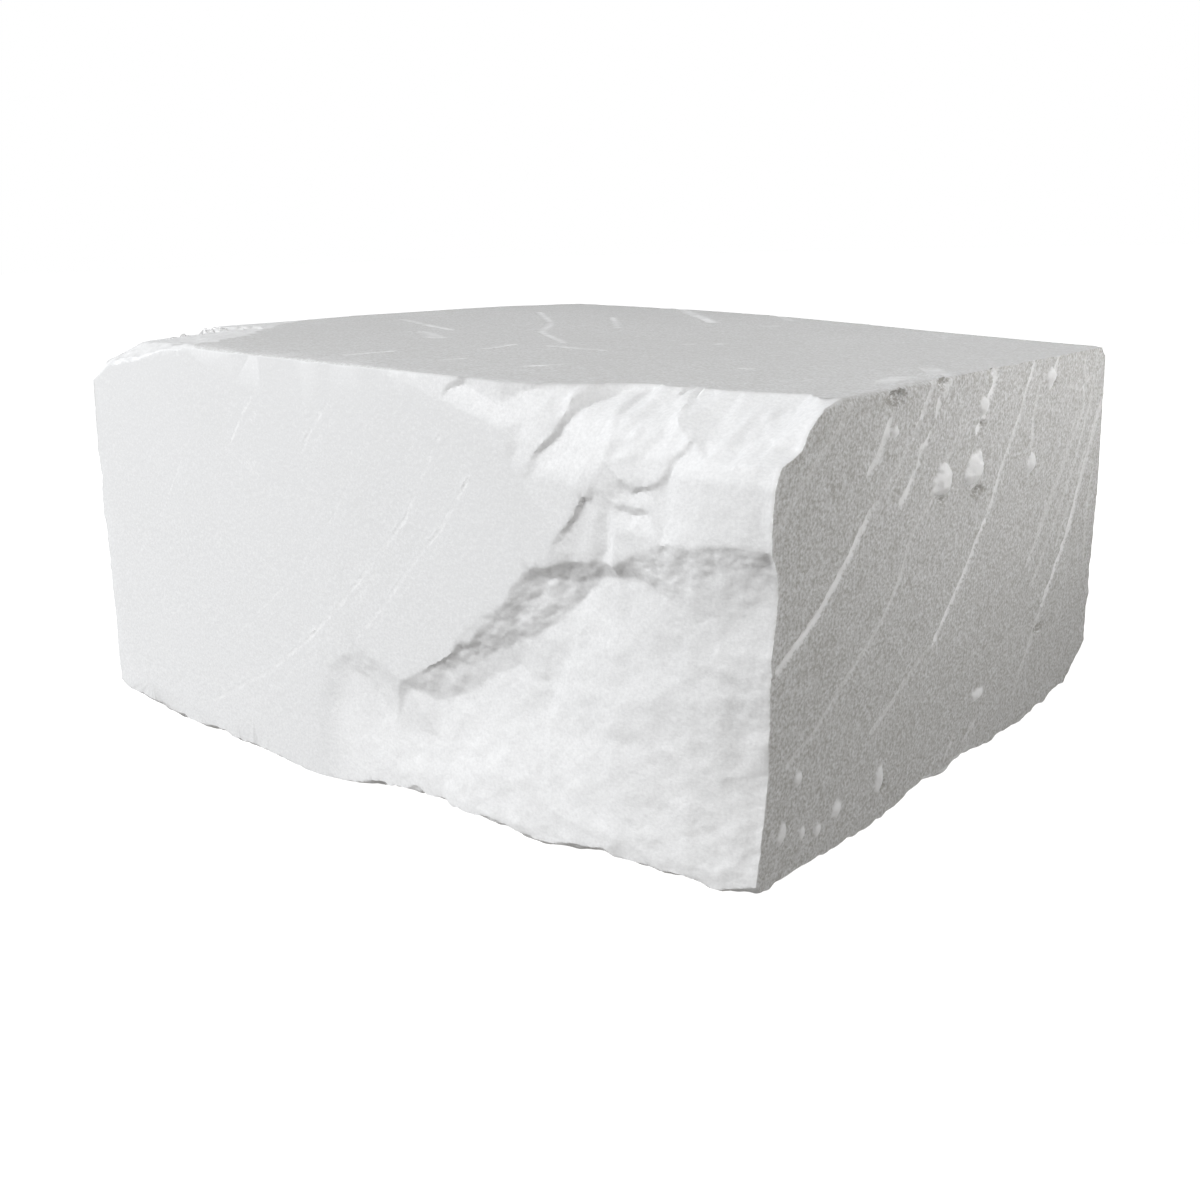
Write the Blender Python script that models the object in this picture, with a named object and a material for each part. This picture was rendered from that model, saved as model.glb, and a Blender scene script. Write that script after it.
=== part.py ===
"""Block of pressed chalk, sawn on every side and broken open along the right half of its front.

One solid. Every length here is in millimetres; the mesh itself is written in metres.
X runs along the long side, the broken front looks towards -Y, and Z is up from the base.
"""

from itertools import product

import bmesh
import bpy
import numpy as np
from mathutils import Vector, geometry
from mathutils.bvhtree import BVHTree

MM = 0.001
NAME = "chalk_block"

# Corners of the sawn block before it was broken, as (x, y, z).
FRONT_LEFT_BASE = (-28.5, -25.6, 0.0)
FRONT_RIGHT_BASE = (27.8, -25.6, 0.0)
BACK_RIGHT_BASE = (27.2, 19.6, 0.0)
BACK_LEFT_BASE = (-26.6, 23.0, 0.0)
FRONT_LEFT_TOP = (-27.9, -24.6, 27.05)
FRONT_RIGHT_TOP = (29.4, -24.6, 24.8)
BACK_RIGHT_TOP = (28.8, 15.6, 24.9)
BACK_LEFT_TOP = (-26.4, 21.4, 26.95)

LATTICE_STEP = 0.36  # spacing of the working mesh
TRIANGLES_KEPT = 8700  # after the flat stretches are thinned out

BACK_BULGE = 2.5  # how far the back saw cut wanders out at its middle
BACK_BULGE_MIDDLE, BACK_BULGE_SPREAD = -8.0, 20.0
LEFT_BULGE = 1.3
LEFT_BULGE_MIDDLE, LEFT_BULGE_SPREAD = -4.0, 10.0
TOP_CROWN = 0.25  # rise of the top towards its back
TOP_CROWN_MIDDLE, TOP_CROWN_SPREAD = (-8.0, 17.0), (24.0, 13.0)
SAW_WANDER, SAW_WANDER_LENGTH = 0.07, 9.0
CUT_REACH, CUT_FALLOFF = 24.0, 1.4  # how far back, and how fast, the sides close up behind the break

# The break in the front, as lines of (x, z, depth behind the front saw cut).
TOP_EDGE = (
    (-6, 27.2, 0.0), (2, 26.8, 0.15), (10, 26.2, 0.3), (12.2, 26.0, 0.4), (14.0, 25.9, 1.0),
    (15.6, 25.8, 1.9), (16.7, 25.8, 3.4), (18.0, 25.7, 4.6), (21.0, 25.6, 5.8), (22.1, 25.6, 6.4),
    (24.0, 25.5, 6.8), (27.0, 25.4, 7.9), (29.4, 25.3, 9.4), (32.0, 25.3, 9.8),
)
SCAR_RIM = (
    (2.0, 26.0, 0.0), (8.1, 24.3, 0.0), (12.7, 23.0, 0.0), (13.7, 21.0, 0.0), (14.2, 20.4, 0.02),
)
SCAR_FLOOR = ((9.5, 25.1, 0.45), (12.4, 24.2, 0.45), (14.0, 23.4, 0.4), (13.6, 24.8, 0.75), (15.0, 24.0, 0.6))
FIRST_VALLEY_LIP = (
    (16.9, 25.2, 3.5), (16.8, 25.1, 2.9), (16.7, 24.9, 2.3), (16.6, 24.5, 1.75), (16.5, 24.1, 1.25),
    (16.3, 23.8, 0.9), (16.1, 23.3, 0.62), (15.7, 22.8, 0.42), (15.3, 22.5, 0.27), (15.0, 22.1, 0.17),
    (14.7, 21.5, 0.1), (14.6, 20.9, 0.05),
)
FIRST_VALLEY = (
    (17.2, 25.1, 3.8), (17.1, 24.9, 3.2), (17.0, 24.7, 2.6), (16.8, 24.4, 2.05), (16.7, 24.0, 1.6),
    (16.6, 23.6, 1.25), (16.4, 23.2, 1.0), (16.1, 22.8, 0.8), (15.6, 22.4, 0.6), (15.2, 22.0, 0.4),
    (15.1, 21.5, 0.28), (14.9, 20.8, 0.15),
)
FORK = (
    (15.5, 25.2, 1.85), (15.9, 24.6, 1.5), (16.3, 24.0, 1.15),
)
FORK_RIDGE = (
    (16.0, 25.1, 2.05), (16.4, 24.6, 1.5),
)
SLAB_TOP = (
    (17.8, 24.9, 4.3), (18.6, 24.4, 2.85), (19.2, 23.7, 1.6), (19.6, 22.8, 0.75), (19.5, 21.9, 0.35),
    (19.0, 20.8, 0.2), (17.6, 20.4, 0.1),
)
SLAB_CREASE = (
    (19.0, 24.9, 4.95), (19.9, 24.4, 3.7), (20.8, 23.7, 2.4), (21.4, 22.9, 1.45), (21.6, 22.0, 1.0),
    (21.8, 21.2, 0.8),
)
SLAB_BACK = (
    (21.0, 24.5, 4.2), (21.9, 23.7, 2.65), (22.3, 22.9, 1.75),
)
SECOND_STEP_LIP = (
    (21.4, 25.0, 5.9), (21.8, 24.8, 5.0), (22.1, 24.5, 4.1), (22.4, 24.2, 3.2), (22.6, 23.8, 2.55),
    (23.2, 23.3, 2.1), (23.9, 22.9, 1.8),
)
SECOND_STEP_FOOT = (
    (21.7, 25.0, 6.1), (22.0, 24.7, 5.2), (22.3, 24.4, 4.3), (22.6, 24.1, 3.42), (22.9, 23.7, 2.74),
    (23.4, 23.3, 2.3), (24.1, 22.8, 2.0),
)
SHELF_BACK = (
    (24.4, 22.9, 2.4), (25.4, 23.0, 2.6), (26.4, 22.9, 2.85), (27.7, 22.9, 3.1), (29.1, 22.7, 3.4),
)
SHELF_FRONT = (
    (25.2, 22.0, 1.35), (26.6, 22.1, 1.4), (27.9, 22.2, 1.5), (28.9, 22.1, 1.72),
)
HOLLOW_LIP = (
    (23.2, 22.0, 1.25), (23.0, 21.4, 1.08), (22.7, 21.0, 0.95), (22.4, 20.8, 0.84), (22.0, 20.7, 0.75),
    (21.4, 20.6, 0.62), (21.0, 20.8, 0.5), (20.5, 21.0, 0.38),
)
HOLLOW_FOOT = (
    (23.4, 21.8, 1.38), (23.2, 21.2, 1.22), (22.9, 20.7, 1.1), (22.4, 20.5, 0.98), (21.8, 20.4, 0.9),
    (21.2, 20.3, 0.78), (20.8, 20.5, 0.64), (20.3, 20.7, 0.46),
)
SMALL_LIP = (
    (20.1, 19.9, 0.42), (20.7, 19.8, 0.5), (21.3, 19.8, 0.6), (22.0, 19.8, 0.7),
)
SMALL_FOOT = (
    (20.1, 19.6, 0.5), (20.6, 19.5, 0.64), (21.2, 19.4, 0.78), (22.0, 19.4, 0.86),
)
GROOVE_SIDE = (
    (22.5, 20.0, 0.9), (22.6, 19.4, 0.75), (22.6, 18.4, 0.62),
)
GROOVE = (
    (23.2, 20.3, 1.08), (23.2, 19.4, 0.93), (23.2, 18.4, 0.78),
)
GROOVE_EDGE = (
    (24.0, 21.2, 1.05), (24.1, 20.2, 0.95), (24.1, 19.3, 0.85), (24.1, 18.6, 0.72),
)
PLATE = (
    (25.4, 21.3, 1.0), (26.8, 21.3, 1.1), (28.1, 21.3, 1.3), (25.2, 20.1, 0.9), (26.5, 20.2, 1.0),
    (27.5, 20.3, 1.14), (28.4, 20.3, 1.34), (25.3, 18.9, 0.8), (26.5, 19.0, 0.93), (27.6, 19.1, 1.1),
    (28.4, 19.2, 1.32), (21.3, 18.5, 0.44), (20.3, 17.9, 0.4), (21.9, 18.1, 0.52),
)
THIRD_STEP_LIP = (
    (18.2, 19.8, 0.15), (17.8, 19.0, 0.12), (17.2, 18.3, 0.1), (16.7, 17.8, 0.08), (16.2, 17.2, 0.05),
)
THIRD_STEP_FOOT = (
    (18.2, 19.7, 0.38), (17.9, 18.9, 0.36), (17.4, 18.2, 0.32), (16.9, 17.6, 0.26), (16.6, 17.0, 0.18),
)
FOURTH_STEP = (
    (18.8, 19.7, 0.38), (18.3, 18.7, 0.42), (17.8, 17.7, 0.42), (17.5, 16.7, 0.45),
)
FOURTH_RIDGE = (
    (19.3, 19.6, 0.4), (19.0, 18.8, 0.42), (18.7, 17.8, 0.42), (18.1, 17.0, 0.46),
)
FIFTH_STEP = (
    (19.6, 18.9, 0.52), (19.6, 18.2, 0.6), (19.6, 17.5, 0.66), (19.4, 16.9, 0.7),
)
FIFTH_RIDGE = (
    (20.1, 18.9, 0.42), (20.2, 18.2, 0.38), (20.3, 17.5, 0.38),
)
LEDGE_LIP = (
    (28.9, 18.0, 1.45), (28.3, 18.2, 1.25), (27.5, 18.2, 1.05), (26.5, 18.2, 0.88), (25.4, 18.0, 0.75),
    (24.0, 17.9, 0.62), (23.1, 18.0, 0.58), (22.2, 17.7, 0.52), (21.4, 17.3, 0.46), (20.8, 16.9, 0.44),
    (20.0, 16.6, 0.52), (19.3, 16.6, 0.68), (18.7, 16.7, 0.52), (17.9, 16.5, 0.48), (17.0, 16.4, 0.38),
    (16.5, 16.3, 0.18), (15.7, 15.9, 0.1), (14.7, 15.7, 0.08), (14.0, 15.2, 0.06), (13.4, 14.5, 0.05),
    (12.9, 13.7, 0.05), (12.1, 13.1, 0.05), (10.7, 12.5, 0.05), (9.5, 11.7, 0.04), (9.1, 11.0, 0.04),
    (8.6, 10.2, 0.04), (7.3, 9.4, 0.03), (5.8, 8.6, 0.03),
)
LEDGE_FOOT = (
    (28.6, 17.4, 1.88), (28.1, 17.2, 1.67), (27.3, 17.1, 1.44), (26.3, 16.8, 1.27), (25.4, 16.5, 1.15),
    (24.5, 15.9, 1.15), (23.4, 15.3, 1.18), (22.3, 15.5, 1.15), (21.4, 15.8, 1.12), (20.0, 15.7, 1.18),
    (18.9, 15.6, 1.25), (18.0, 15.6, 1.18), (16.9, 15.4, 1.0), (16.1, 15.3, 0.82), (15.3, 15.1, 0.64),
    (14.6, 14.8, 0.46), (14.1, 14.3, 0.34), (13.5, 13.8, 0.28), (12.7, 13.2, 0.23), (11.8, 12.5, 0.18),
    (10.5, 11.7, 0.14), (10.0, 11.0, 0.12),
)
LENS = (
    (15.1, 14.3, 0.78), (14.1, 13.6, 0.58), (12.8, 12.7, 0.44), (11.4, 11.8, 0.34),
)
LOWER_LIP = (
    (17.5, 15.3, 1.22), (17.0, 14.8, 1.1), (16.2, 14.2, 0.98), (15.4, 13.6, 0.86), (14.4, 13.0, 0.74),
    (13.4, 12.4, 0.64), (12.0, 11.7, 0.53), (10.5, 11.0, 0.43), (9.1, 10.3, 0.32), (7.4, 9.4, 0.2),
    (5.9, 8.5, 0.1),
)
LOWER_FOOT = (
    (17.9, 14.9, 1.45), (17.4, 14.3, 1.4), (16.7, 13.6, 1.3), (15.9, 13.0, 1.2), (14.7, 12.2, 1.1),
    (13.5, 11.6, 1.0), (11.9, 10.8, 0.88), (10.4, 10.1, 0.76), (8.9, 9.3, 0.63), (7.4, 8.5, 0.5),
    (5.9, 7.7, 0.37), (4.5, 7.3, 0.25),
)
LOW_RIM = (
    (4.1, 7.7, 0.0), (2.8, 8.3, 0.0), (0.7, 8.9, 0.0), (-1.4, 8.3, 0.0), (-2.9, 7.0, 0.0),
    (-3.7, 5.0, 0.0), (-4.1, 2.3, 0.0), (-4.4, -1.1, 0.0),
)
LOW_FACE = (
    (-0.8, 7.5, 0.35), (1.6, 6.7, 0.5), (-1.6, 5.3, 0.4), (-1.8, 2.7, 0.36), (-1.4, 0.2, 0.32),
    (3.2, 4.8, 0.62), (3.4, 2.2, 0.4), (6.6, 6.8, 0.85), (6.8, 4.5, 0.62), (6.9, 1.8, 0.4),
    (9.0, 7.7, 0.95), (11.2, 9.1, 1.02), (9.9, 6.3, 0.85), (10.1, 3.4, 0.58), (10.2, 0.9, 0.42),
    (12.9, 10.1, 1.1), (13.0, 8.0, 0.95), (13.2, 4.7, 0.68), (13.3, 0.9, 0.56),
)
LOW_VALLEY = (
    (16.7, 11.6, 1.1), (15.6, 9.1, 1.08), (15.1, 7.2, 1.02), (14.9, 5.0, 0.88), (14.4, 2.6, 0.72),
)
BROAD_FACE = (
    (18.6, 14.2, 1.25), (18.1, 13.2, 1.15), (17.5, 9.5, 0.9), (17.5, 5.6, 0.76), (17.7, 2.0, 0.7),
    (19.6, 12.5, 1.0), (19.8, 9.4, 0.8), (19.8, 5.9, 0.78), (19.9, 2.0, 0.78), (22.1, 13.7, 1.1),
    (22.2, 9.8, 0.98), (22.2, 6.0, 1.08), (22.2, 1.5, 1.1), (24.4, 14.1, 1.35), (24.5, 10.2, 1.32),
    (24.4, 5.9, 1.5), (24.5, 1.2, 1.5), (26.0, 14.4, 1.58), (26.1, 10.4, 1.65), (26.0, 6.1, 1.92),
    (26.1, 1.2, 1.95), (27.3, 14.6, 1.9), (27.3, 10.6, 2.0), (27.2, 6.3, 2.38), (27.1, 1.9, 2.35),
)
BASE_EDGE = (
    (-2.0, -1.0, 0.4), (3.4, -1.0, 0.45), (8.0, -1.0, 0.55), (13.0, -1.0, 0.7), (16.0, -1.0, 0.85),
    (18.7, -1.0, 1.05), (21.4, -1.0, 1.3), (24.1, -1.0, 1.7), (26.5, -1.0, 2.3),
)
CORNER_EDGE = (
    (29.5, 24.6, 6.4), (29.5, 24.3, 4.8), (29.5, 23.5, 3.9), (29.5, 22.6, 3.4), (29.5, 22.1, 1.9),
    (29.4, 21.0, 1.35), (29.3, 19.7, 1.3), (29.2, 17.9, 1.4), (29.1, 17.2, 1.8), (29.0, 16.8, 2.1),
    (29.0, 16.2, 2.3), (28.9, 12.8, 2.35), (28.7, 10.6, 2.45), (28.6, 8.8, 2.75), (28.5, 6.8, 3.05),
    (28.4, 5.0, 2.9), (28.3, 2.4, 2.85), (28.2, 0.6, 2.8), (28.2, -1.0, 3.2),
)
CREASES = (
    TOP_EDGE, SCAR_RIM, FIRST_VALLEY_LIP, FIRST_VALLEY, FORK, FORK_RIDGE, SLAB_TOP, SLAB_CREASE,
    SECOND_STEP_LIP, SECOND_STEP_FOOT, SHELF_BACK, SHELF_FRONT, HOLLOW_LIP, HOLLOW_FOOT, SMALL_LIP,
    SMALL_FOOT, GROOVE_SIDE, GROOVE, GROOVE_EDGE, THIRD_STEP_LIP, THIRD_STEP_FOOT, FOURTH_STEP,
    FOURTH_RIDGE, FIFTH_STEP, FIFTH_RIDGE, LEDGE_LIP, LEDGE_FOOT, LENS, LOWER_LIP, LOWER_FOOT,
    LOW_RIM, LOW_VALLEY, BASE_EDGE, CORNER_EDGE,
)
LOOSE_POINTS = (SCAR_FLOOR, SLAB_BACK, PLATE, LOW_FACE, BROAD_FACE)
BREAK_FRAME = ((-8, -2, 0.0), (-8, 28, 0.0), (34, 28, 10.5), (34, 22.6, 3.4), (34, 16, 2.3), (34, -2, 3.4))
BREAK_GRAIN = ((4.0, 0.10), (1.7, 0.05), (0.8, 0.03))  # (size of lump, height)

# Wear along the bottom edges: height of the missing strip along each side.
FRONT_BASE_WEAR = (
    (-28.4, 2.0), (-25.5, 1.5), (-20.6, 1.1), (-17.2, 0.75), (-10.3, 0.55), (-5.0, 0.05), (-3.5, 0.0),
    (-1.5, 0.2), (1.4, 0.85), (5.0, 1.4), (6.8, 1.6), (8.0, 1.2), (10.0, 1.0), (12.4, 0.85),
    (14.6, 0.75), (17.5, 1.1), (19.0, 1.35), (21.4, 1.4), (24.0, 1.3), (26.1, 1.2), (28.0, 1.1),
)
RIGHT_BASE_WEAR = (
    (-25, 0.1), (-11, 0.2), (-8.2, 0.5), (-6, 0.95), (-2, 1.0), (0.4, 1.3), (3.5, 0.9), (7.4, 1.0),
    (11.4, 1.4), (14.8, 1.9), (19, 2.6),
)
BACK_BASE_WEAR = ((-30, 1.6), (-12, 0.7), (4, 1.2), (28, 2.2))
LEFT_BASE_WEAR = ((-26, 1.9), (-10, 0.8), (8, 1.3), (24, 1.0))
WEAR_LEAN = 1.72  # how much further the wear runs under the block than up its side
LEAST_WEAR, UNWORN = 0.02, 99.0  # below this height an edge is left alone

# Broken corners and edges: a point on the break, the way it faces, and how rough it is.
CHIPS = (
    ((-24.5, -24.6, 25.25), (-0.15, -0.38, 1.0), 0.12),  # front left corner of the top
    ((-26.4, -24.6, 24.9), (-0.54, -0.93, 1.0), 0.15),  # and the corner's own tip
    ((-22.8, -13.0, 26.85), (-0.038, -0.048, 1.0), 0.06),  # thin flake off the top behind it
    ((-28.9, -8.0, 26.75), (-0.60, 0.0, 0.80), 0.25),  # left edge of the top
    ((-26.3, 20.0, 25.9), (-0.55, 0.35, 0.76), 0.30),  # back left corner of the top
    ((27.5, 17.0, 3.1), (0.30, 0.62, -0.72), 0.25),  # back right corner of the base
    ((-26.6, 21.5, 3.0), (-0.5, 0.6, -0.62), 0.35),  # back left corner of the base
    ((28.7, 16.4, 20.0), (0.74, 0.67, 0.02), 0.12),  # back right upright edge
    ((-28.0, -24.9, 12.0), (-0.7, -0.71, 0.0), 0.12),  # front left upright edge
    ((-26.9, 22.2, 12.0), (-0.6, 0.8, 0.0), 0.30),  # back left upright edge
    ((27.75, -22.9, 0.45), (0.35, -0.60, -0.72), 0.15),  # front right corner of the base
    ((0.0, -24.56, 25.86), (0.03, -0.55, 0.83), 0.05),  # front edge of the top
    ((29.0, 0.0, 24.8), (0.7, 0.0, 0.71), 0.05),  # right edge of the top
    ((28.65, 15.3, 24.7), (0.55, 0.5, 0.67), 0.06),  # back right corner of the top
    ((0.0, 22.8, 25.6), (0.03, 0.6, 0.8), 0.12),  # back edge of the top
)
CHIP_LUMP = 1.9

# Hollows torn out of the right side: (y, z, half length, half height, depth).
HOLLOWS = (
    (-1.8, 17.8, 1.0, 0.4, 0.4), (-6.4, 18.0, 0.5, 0.35, 0.3), (5.9, 17.9, 0.4, 0.3, 0.25),
    (7.8, 23.2, 0.4, 0.3, 0.25), (-1.8, 21.8, 0.35, 0.3, 0.3), (-12.5, 24.3, 1.1, 0.5, 0.5),
    (-7.3, 24.6, 0.7, 0.4, 0.4), (-0.8, 24.7, 0.7, 0.4, 0.35), (9.5, 6.9, 0.7, 0.4, 0.3),
    (-10.4, 2.2, 0.35, 0.6, 0.3),
)
# Crumbs stuck to it: (y, z, half length, half height, how far each stands out).
CRUMBS = (
    (-2.6, 19.3, 1.1, 1.0, 0.45), (-6.4, 19.1, 1.05, 0.95, 0.42), (5.4, 18.6, 0.6, 0.7, 0.3),
    (7.1, 23.7, 0.55, 0.7, 0.3), (-2.1, 22.8, 0.5, 0.7, 0.3), (-12.4, 22.5, 0.4, 0.4, 0.2),
    (1.0, 4.6, 0.9, 0.5, 0.25), (-11.0, 2.7, 0.45, 0.9, 0.25), (-15.4, 2.4, 0.45, 0.5, 0.2),
    (-19.6, 5.6, 0.4, 0.45, 0.18), (-20.8, 2.9, 0.35, 0.7, 0.15), (-18.8, 2.2, 0.35, 0.6, 0.15),
    (-17.2, 1.8, 0.4, 0.5, 0.15),
)
HOLLOW_RAGGED, HOLLOW_LUMP = 0.25, 0.9  # how uneven the rims of both are, and over what length
HOLLOW_STEEP = 1.5
# Long scores down the right side, as (y, z) from top to bottom.
SCORES = (
    ((-17.0, 24.2), (-19.6, 22.1), (-23.2, 19.0)),
    ((-8.6, 24.4), (-10.3, 22.0), (-12.6, 19.8), (-15.6, 17.1), (-19.4, 13.7), (-22.0, 12.1)),
    ((-7.4, 18.2), (-9.6, 16.4), (-11.3, 13.1), (-16.0, 9.5), (-20.7, 6.6)),
    ((4.2, 24.4), (2.1, 20.2), (-0.3, 15.9), (-5.4, 9.6), (-12.3, 5.9)),
    ((15.2, 20.4), (13.7, 15.8), (10.7, 10.1), (6.9, 3.9)),
)
SCORE_DEPTH, SCORE_HALF_WIDTH = 0.16, 0.17
SCORE_CLEAR = 0.4  # how far the cutter stands out of the face

CHALK_COLOUR = (0.86, 0.86, 0.85, 1.0)
CHALK_ROUGHNESS = 0.92


def clear_scene():
    for obj in list(bpy.data.objects):
        bpy.data.objects.remove(obj, do_unlink=True)


def lumps(points, size, seed):
    """A smooth random value from about -1 to 1 at each point, in lumps of the given size."""
    place = points / size
    cell = np.floor(place).astype(np.int64)
    ease = place - cell
    ease = ease * ease * (3 - 2 * ease)
    total = np.zeros(len(points))
    for corner in product((0, 1), repeat=3):
        key = (cell + corner) @ np.array((73856093, 19349663, 83492791)) + seed * 2654435
        key = (key ^ (key >> 13)) * 1274126177 & 0x7FFFFFFF
        key = (key ^ (key >> 15)) * 69069 & 0x7FFFFFFF
        share = np.prod(np.where(corner, ease, 1 - ease), axis=1)
        total += share * (((key >> 8) & 0xFFFF) / 32767.5 - 1)
    return total


def lattice():
    """A unit cube whose sides are divided evenly into squares of about one lattice step."""
    bm = bmesh.new()
    bmesh.ops.create_cube(bm, size=1.0)
    lengths = np.subtract(FRONT_RIGHT_TOP, FRONT_LEFT_BASE)
    lengths[1] = BACK_LEFT_BASE[1] - FRONT_LEFT_BASE[1]
    for axis, length in enumerate(lengths):
        along = [e for e in bm.edges if abs((e.verts[0].co - e.verts[1].co)[axis]) > 1e-6]
        cuts = int(length / LATTICE_STEP) - 1
        bmesh.ops.subdivide_edges(bm, edges=along, cuts=cuts, use_grid_fill=True)
    return bm


def sawn_block(cube):
    """Places the points of the unit cube between the eight corners of the block."""
    u, v, w = (cube + 0.5).T[:, :, None]
    low = (1 - u) * (1 - v) * FRONT_LEFT_BASE + u * (1 - v) * FRONT_RIGHT_BASE
    low = low + u * v * BACK_RIGHT_BASE + (1 - u) * v * BACK_LEFT_BASE
    high = (1 - u) * (1 - v) * FRONT_LEFT_TOP + u * (1 - v) * FRONT_RIGHT_TOP
    high = high + u * v * BACK_RIGHT_TOP + (1 - u) * v * BACK_LEFT_TOP
    return (1 - w) * low + w * high


def wander(points, cube):
    """The saw cuts aren't quite flat: the back and left swell out, and the top rises to the back."""
    u, v, w = (cube + 0.5).T
    x, y = points[:, 0].copy(), points[:, 1].copy()
    points[:, 1] += BACK_BULGE * v**2 * np.exp(-(((x - BACK_BULGE_MIDDLE) / BACK_BULGE_SPREAD) ** 2))
    points[:, 0] -= LEFT_BULGE * (1 - u) ** 2 * np.exp(-(((y - LEFT_BULGE_MIDDLE) / LEFT_BULGE_SPREAD) ** 2))
    across = (x - TOP_CROWN_MIDDLE[0]) / TOP_CROWN_SPREAD[0]
    back = (y - TOP_CROWN_MIDDLE[1]) / TOP_CROWN_SPREAD[1]
    points[:, 2] += TOP_CROWN * w**3 * np.exp(-(across**2) - back**2)
    points[:, 2] += SAW_WANDER * w**3 * lumps(points, SAW_WANDER_LENGTH, 3)
    points[:, 0] += SAW_WANDER * (2 * u - 1) ** 3 * lumps(points, SAW_WANDER_LENGTH, 4)


def break_surface():
    """The break as a triangulated sheet over (x, z), creased along its ledges."""
    corners, edges = [], []
    for line in CREASES:
        first = len(corners)
        corners.extend(line)
        edges.extend((first + n, first + n + 1) for n in range(len(line) - 1))
    for group in LOOSE_POINTS + (BREAK_FRAME,):
        corners.extend(group)
    flat = [Vector((x, z)) for x, z, _ in corners]
    placed, _, faces, sources, _, _ = geometry.delaunay_2d_cdt(flat, edges, [], 0, 1e-4)
    sheet = [(p.x, p.y, corners[ids[0]][2] if ids else 1.0) for p, ids in zip(placed, sources)]
    return BVHTree.FromPolygons(sheet, faces)


def break_depth(points):
    """How far behind the front saw cut the break lies, at the x and z of each point."""
    sheet = break_surface()
    down = Vector((0, 0, -1))
    depth = np.zeros(len(points))
    for n, (x, _, z) in enumerate(points):
        hit = sheet.ray_cast(Vector((x, z, 50.0)), down)[0]
        if hit is not None:
            depth[n] = hit.z
    rough = np.clip(depth / 0.5, 0, 1)
    for seed, (size, height) in enumerate(BREAK_GRAIN):
        depth += rough * height * lumps(points, size, 20 + seed)
    return np.maximum(depth, 0)


def break_front(points, cube):
    """Moves the front back to the break, and closes up the sides behind it."""
    v = cube[:, 1] + 0.5
    reach = np.clip(1 - v * (BACK_LEFT_BASE[1] - FRONT_LEFT_BASE[1]) / CUT_REACH, 0, 1)
    points[:, 1] += break_depth(points) * reach**CUT_FALLOFF


def shave(points, excess, facing):
    """Pushes every point that stands out past a broken face back onto it."""
    points -= np.maximum(excess, 0)[:, None] * facing


def wear_base(points):
    sides = (
        (FRONT_BASE_WEAR, 0, FRONT_LEFT_BASE, (0.0, -1.0), 31),
        (RIGHT_BASE_WEAR, 1, FRONT_RIGHT_BASE, (1.0, 0.0), 32),
        (BACK_BASE_WEAR, 0, BACK_LEFT_BASE, (0.09, 1.0), 33),
        (LEFT_BASE_WEAR, 1, FRONT_LEFT_BASE, (-1.0, 0.04), 34),
    )
    for wear, along, corner, outward, seed in sides:
        facing = np.array((outward[0], outward[1], -WEAR_LEAN))
        facing /= np.linalg.norm(facing)
        height = np.interp(points[:, along], *zip(*wear))
        height = height * (1 + 0.25 * lumps(points, 3.0, seed) + 0.2 * lumps(points, 1.2, seed))
        out = (points - corner) @ facing
        shave(points, out - np.where(height > LEAST_WEAR, -height * abs(facing[2]), UNWORN), facing)


def chip(points):
    for seed, (place, facing, rough) in enumerate(CHIPS):
        facing = np.array(facing) / np.linalg.norm(facing)
        bumps = lumps(points, CHIP_LUMP, 50 + seed) + 0.5 * lumps(points, CHIP_LUMP / 2, 80 + seed)
        shave(points, (points - place) @ facing - rough * bumps, facing)


def on_right_side(cube):
    return np.clip((cube[:, 0] - 0.47) / 0.03, 0, 1)


def tear_side(points, cube):
    """Sinks the hollows of the right side, and raises the crumbs stuck to it."""
    shift = np.zeros(len(points))
    for outward, spots in ((-1, HOLLOWS), (1, CRUMBS)):
        for y, z, half_length, half_height, height in spots:
            away = np.hypot((points[:, 1] - y) / half_length, (points[:, 2] - z) / half_height)
            away *= 1 + HOLLOW_RAGGED * lumps(points, HOLLOW_LUMP, 7)
            shift += outward * height * np.clip(HOLLOW_STEEP * (1 - away), 0, 1)
    points[:, 0] += shift * on_right_side(cube)


def score_cutter(bm, middle):
    """A thin wedge along each score, its point just under the right side."""
    block = BVHTree.FromBMesh(bm)
    wedge = bmesh.new()
    for line in SCORES:
        path = np.array(line) - (middle[1], 0)
        runs = np.diff(path, axis=0)
        runs = np.vstack([runs[:1], runs[:-1] + runs[1:], runs[-1:]])
        runs /= np.linalg.norm(runs, axis=1)[:, None]
        rings = []
        for (y, z), (along_y, along_z) in zip(path, runs):
            face = block.ray_cast(Vector((1, y * MM, z * MM)), Vector((-1, 0, 0)))[0].x / MM
            spread = SCORE_HALF_WIDTH * (1 + SCORE_CLEAR / SCORE_DEPTH)
            places = (
                (face - SCORE_DEPTH, y, z),
                (face + SCORE_CLEAR, y - along_z * spread, z + along_y * spread),
                (face + SCORE_CLEAR, y + along_z * spread, z - along_y * spread),
            )
            rings.append([wedge.verts.new(Vector(place) * MM) for place in places])
        for near, far in zip(rings[:-1], rings[1:]):
            for n in range(3):
                wedge.faces.new((near[n], near[n - 1], far[n - 1], far[n]))
        wedge.faces.new(rings[0])
        wedge.faces.new(rings[-1])
    bmesh.ops.recalc_face_normals(wedge, faces=wedge.faces)
    mesh = bpy.data.meshes.new("score cutter")
    wedge.to_mesh(mesh)
    wedge.free()
    cutter = bpy.data.objects.new("score cutter", mesh)
    cutter.hide_render = True
    cutter.display_type = "WIRE"
    bpy.context.scene.collection.objects.link(cutter)
    return cutter


def chalk():
    material = bpy.data.materials.new("chalk")
    material.use_nodes = True
    shader = material.node_tree.nodes["Principled BSDF"]
    shader.inputs["Base Color"].default_value = CHALK_COLOUR
    shader.inputs["Roughness"].default_value = CHALK_ROUGHNESS
    return material


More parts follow.
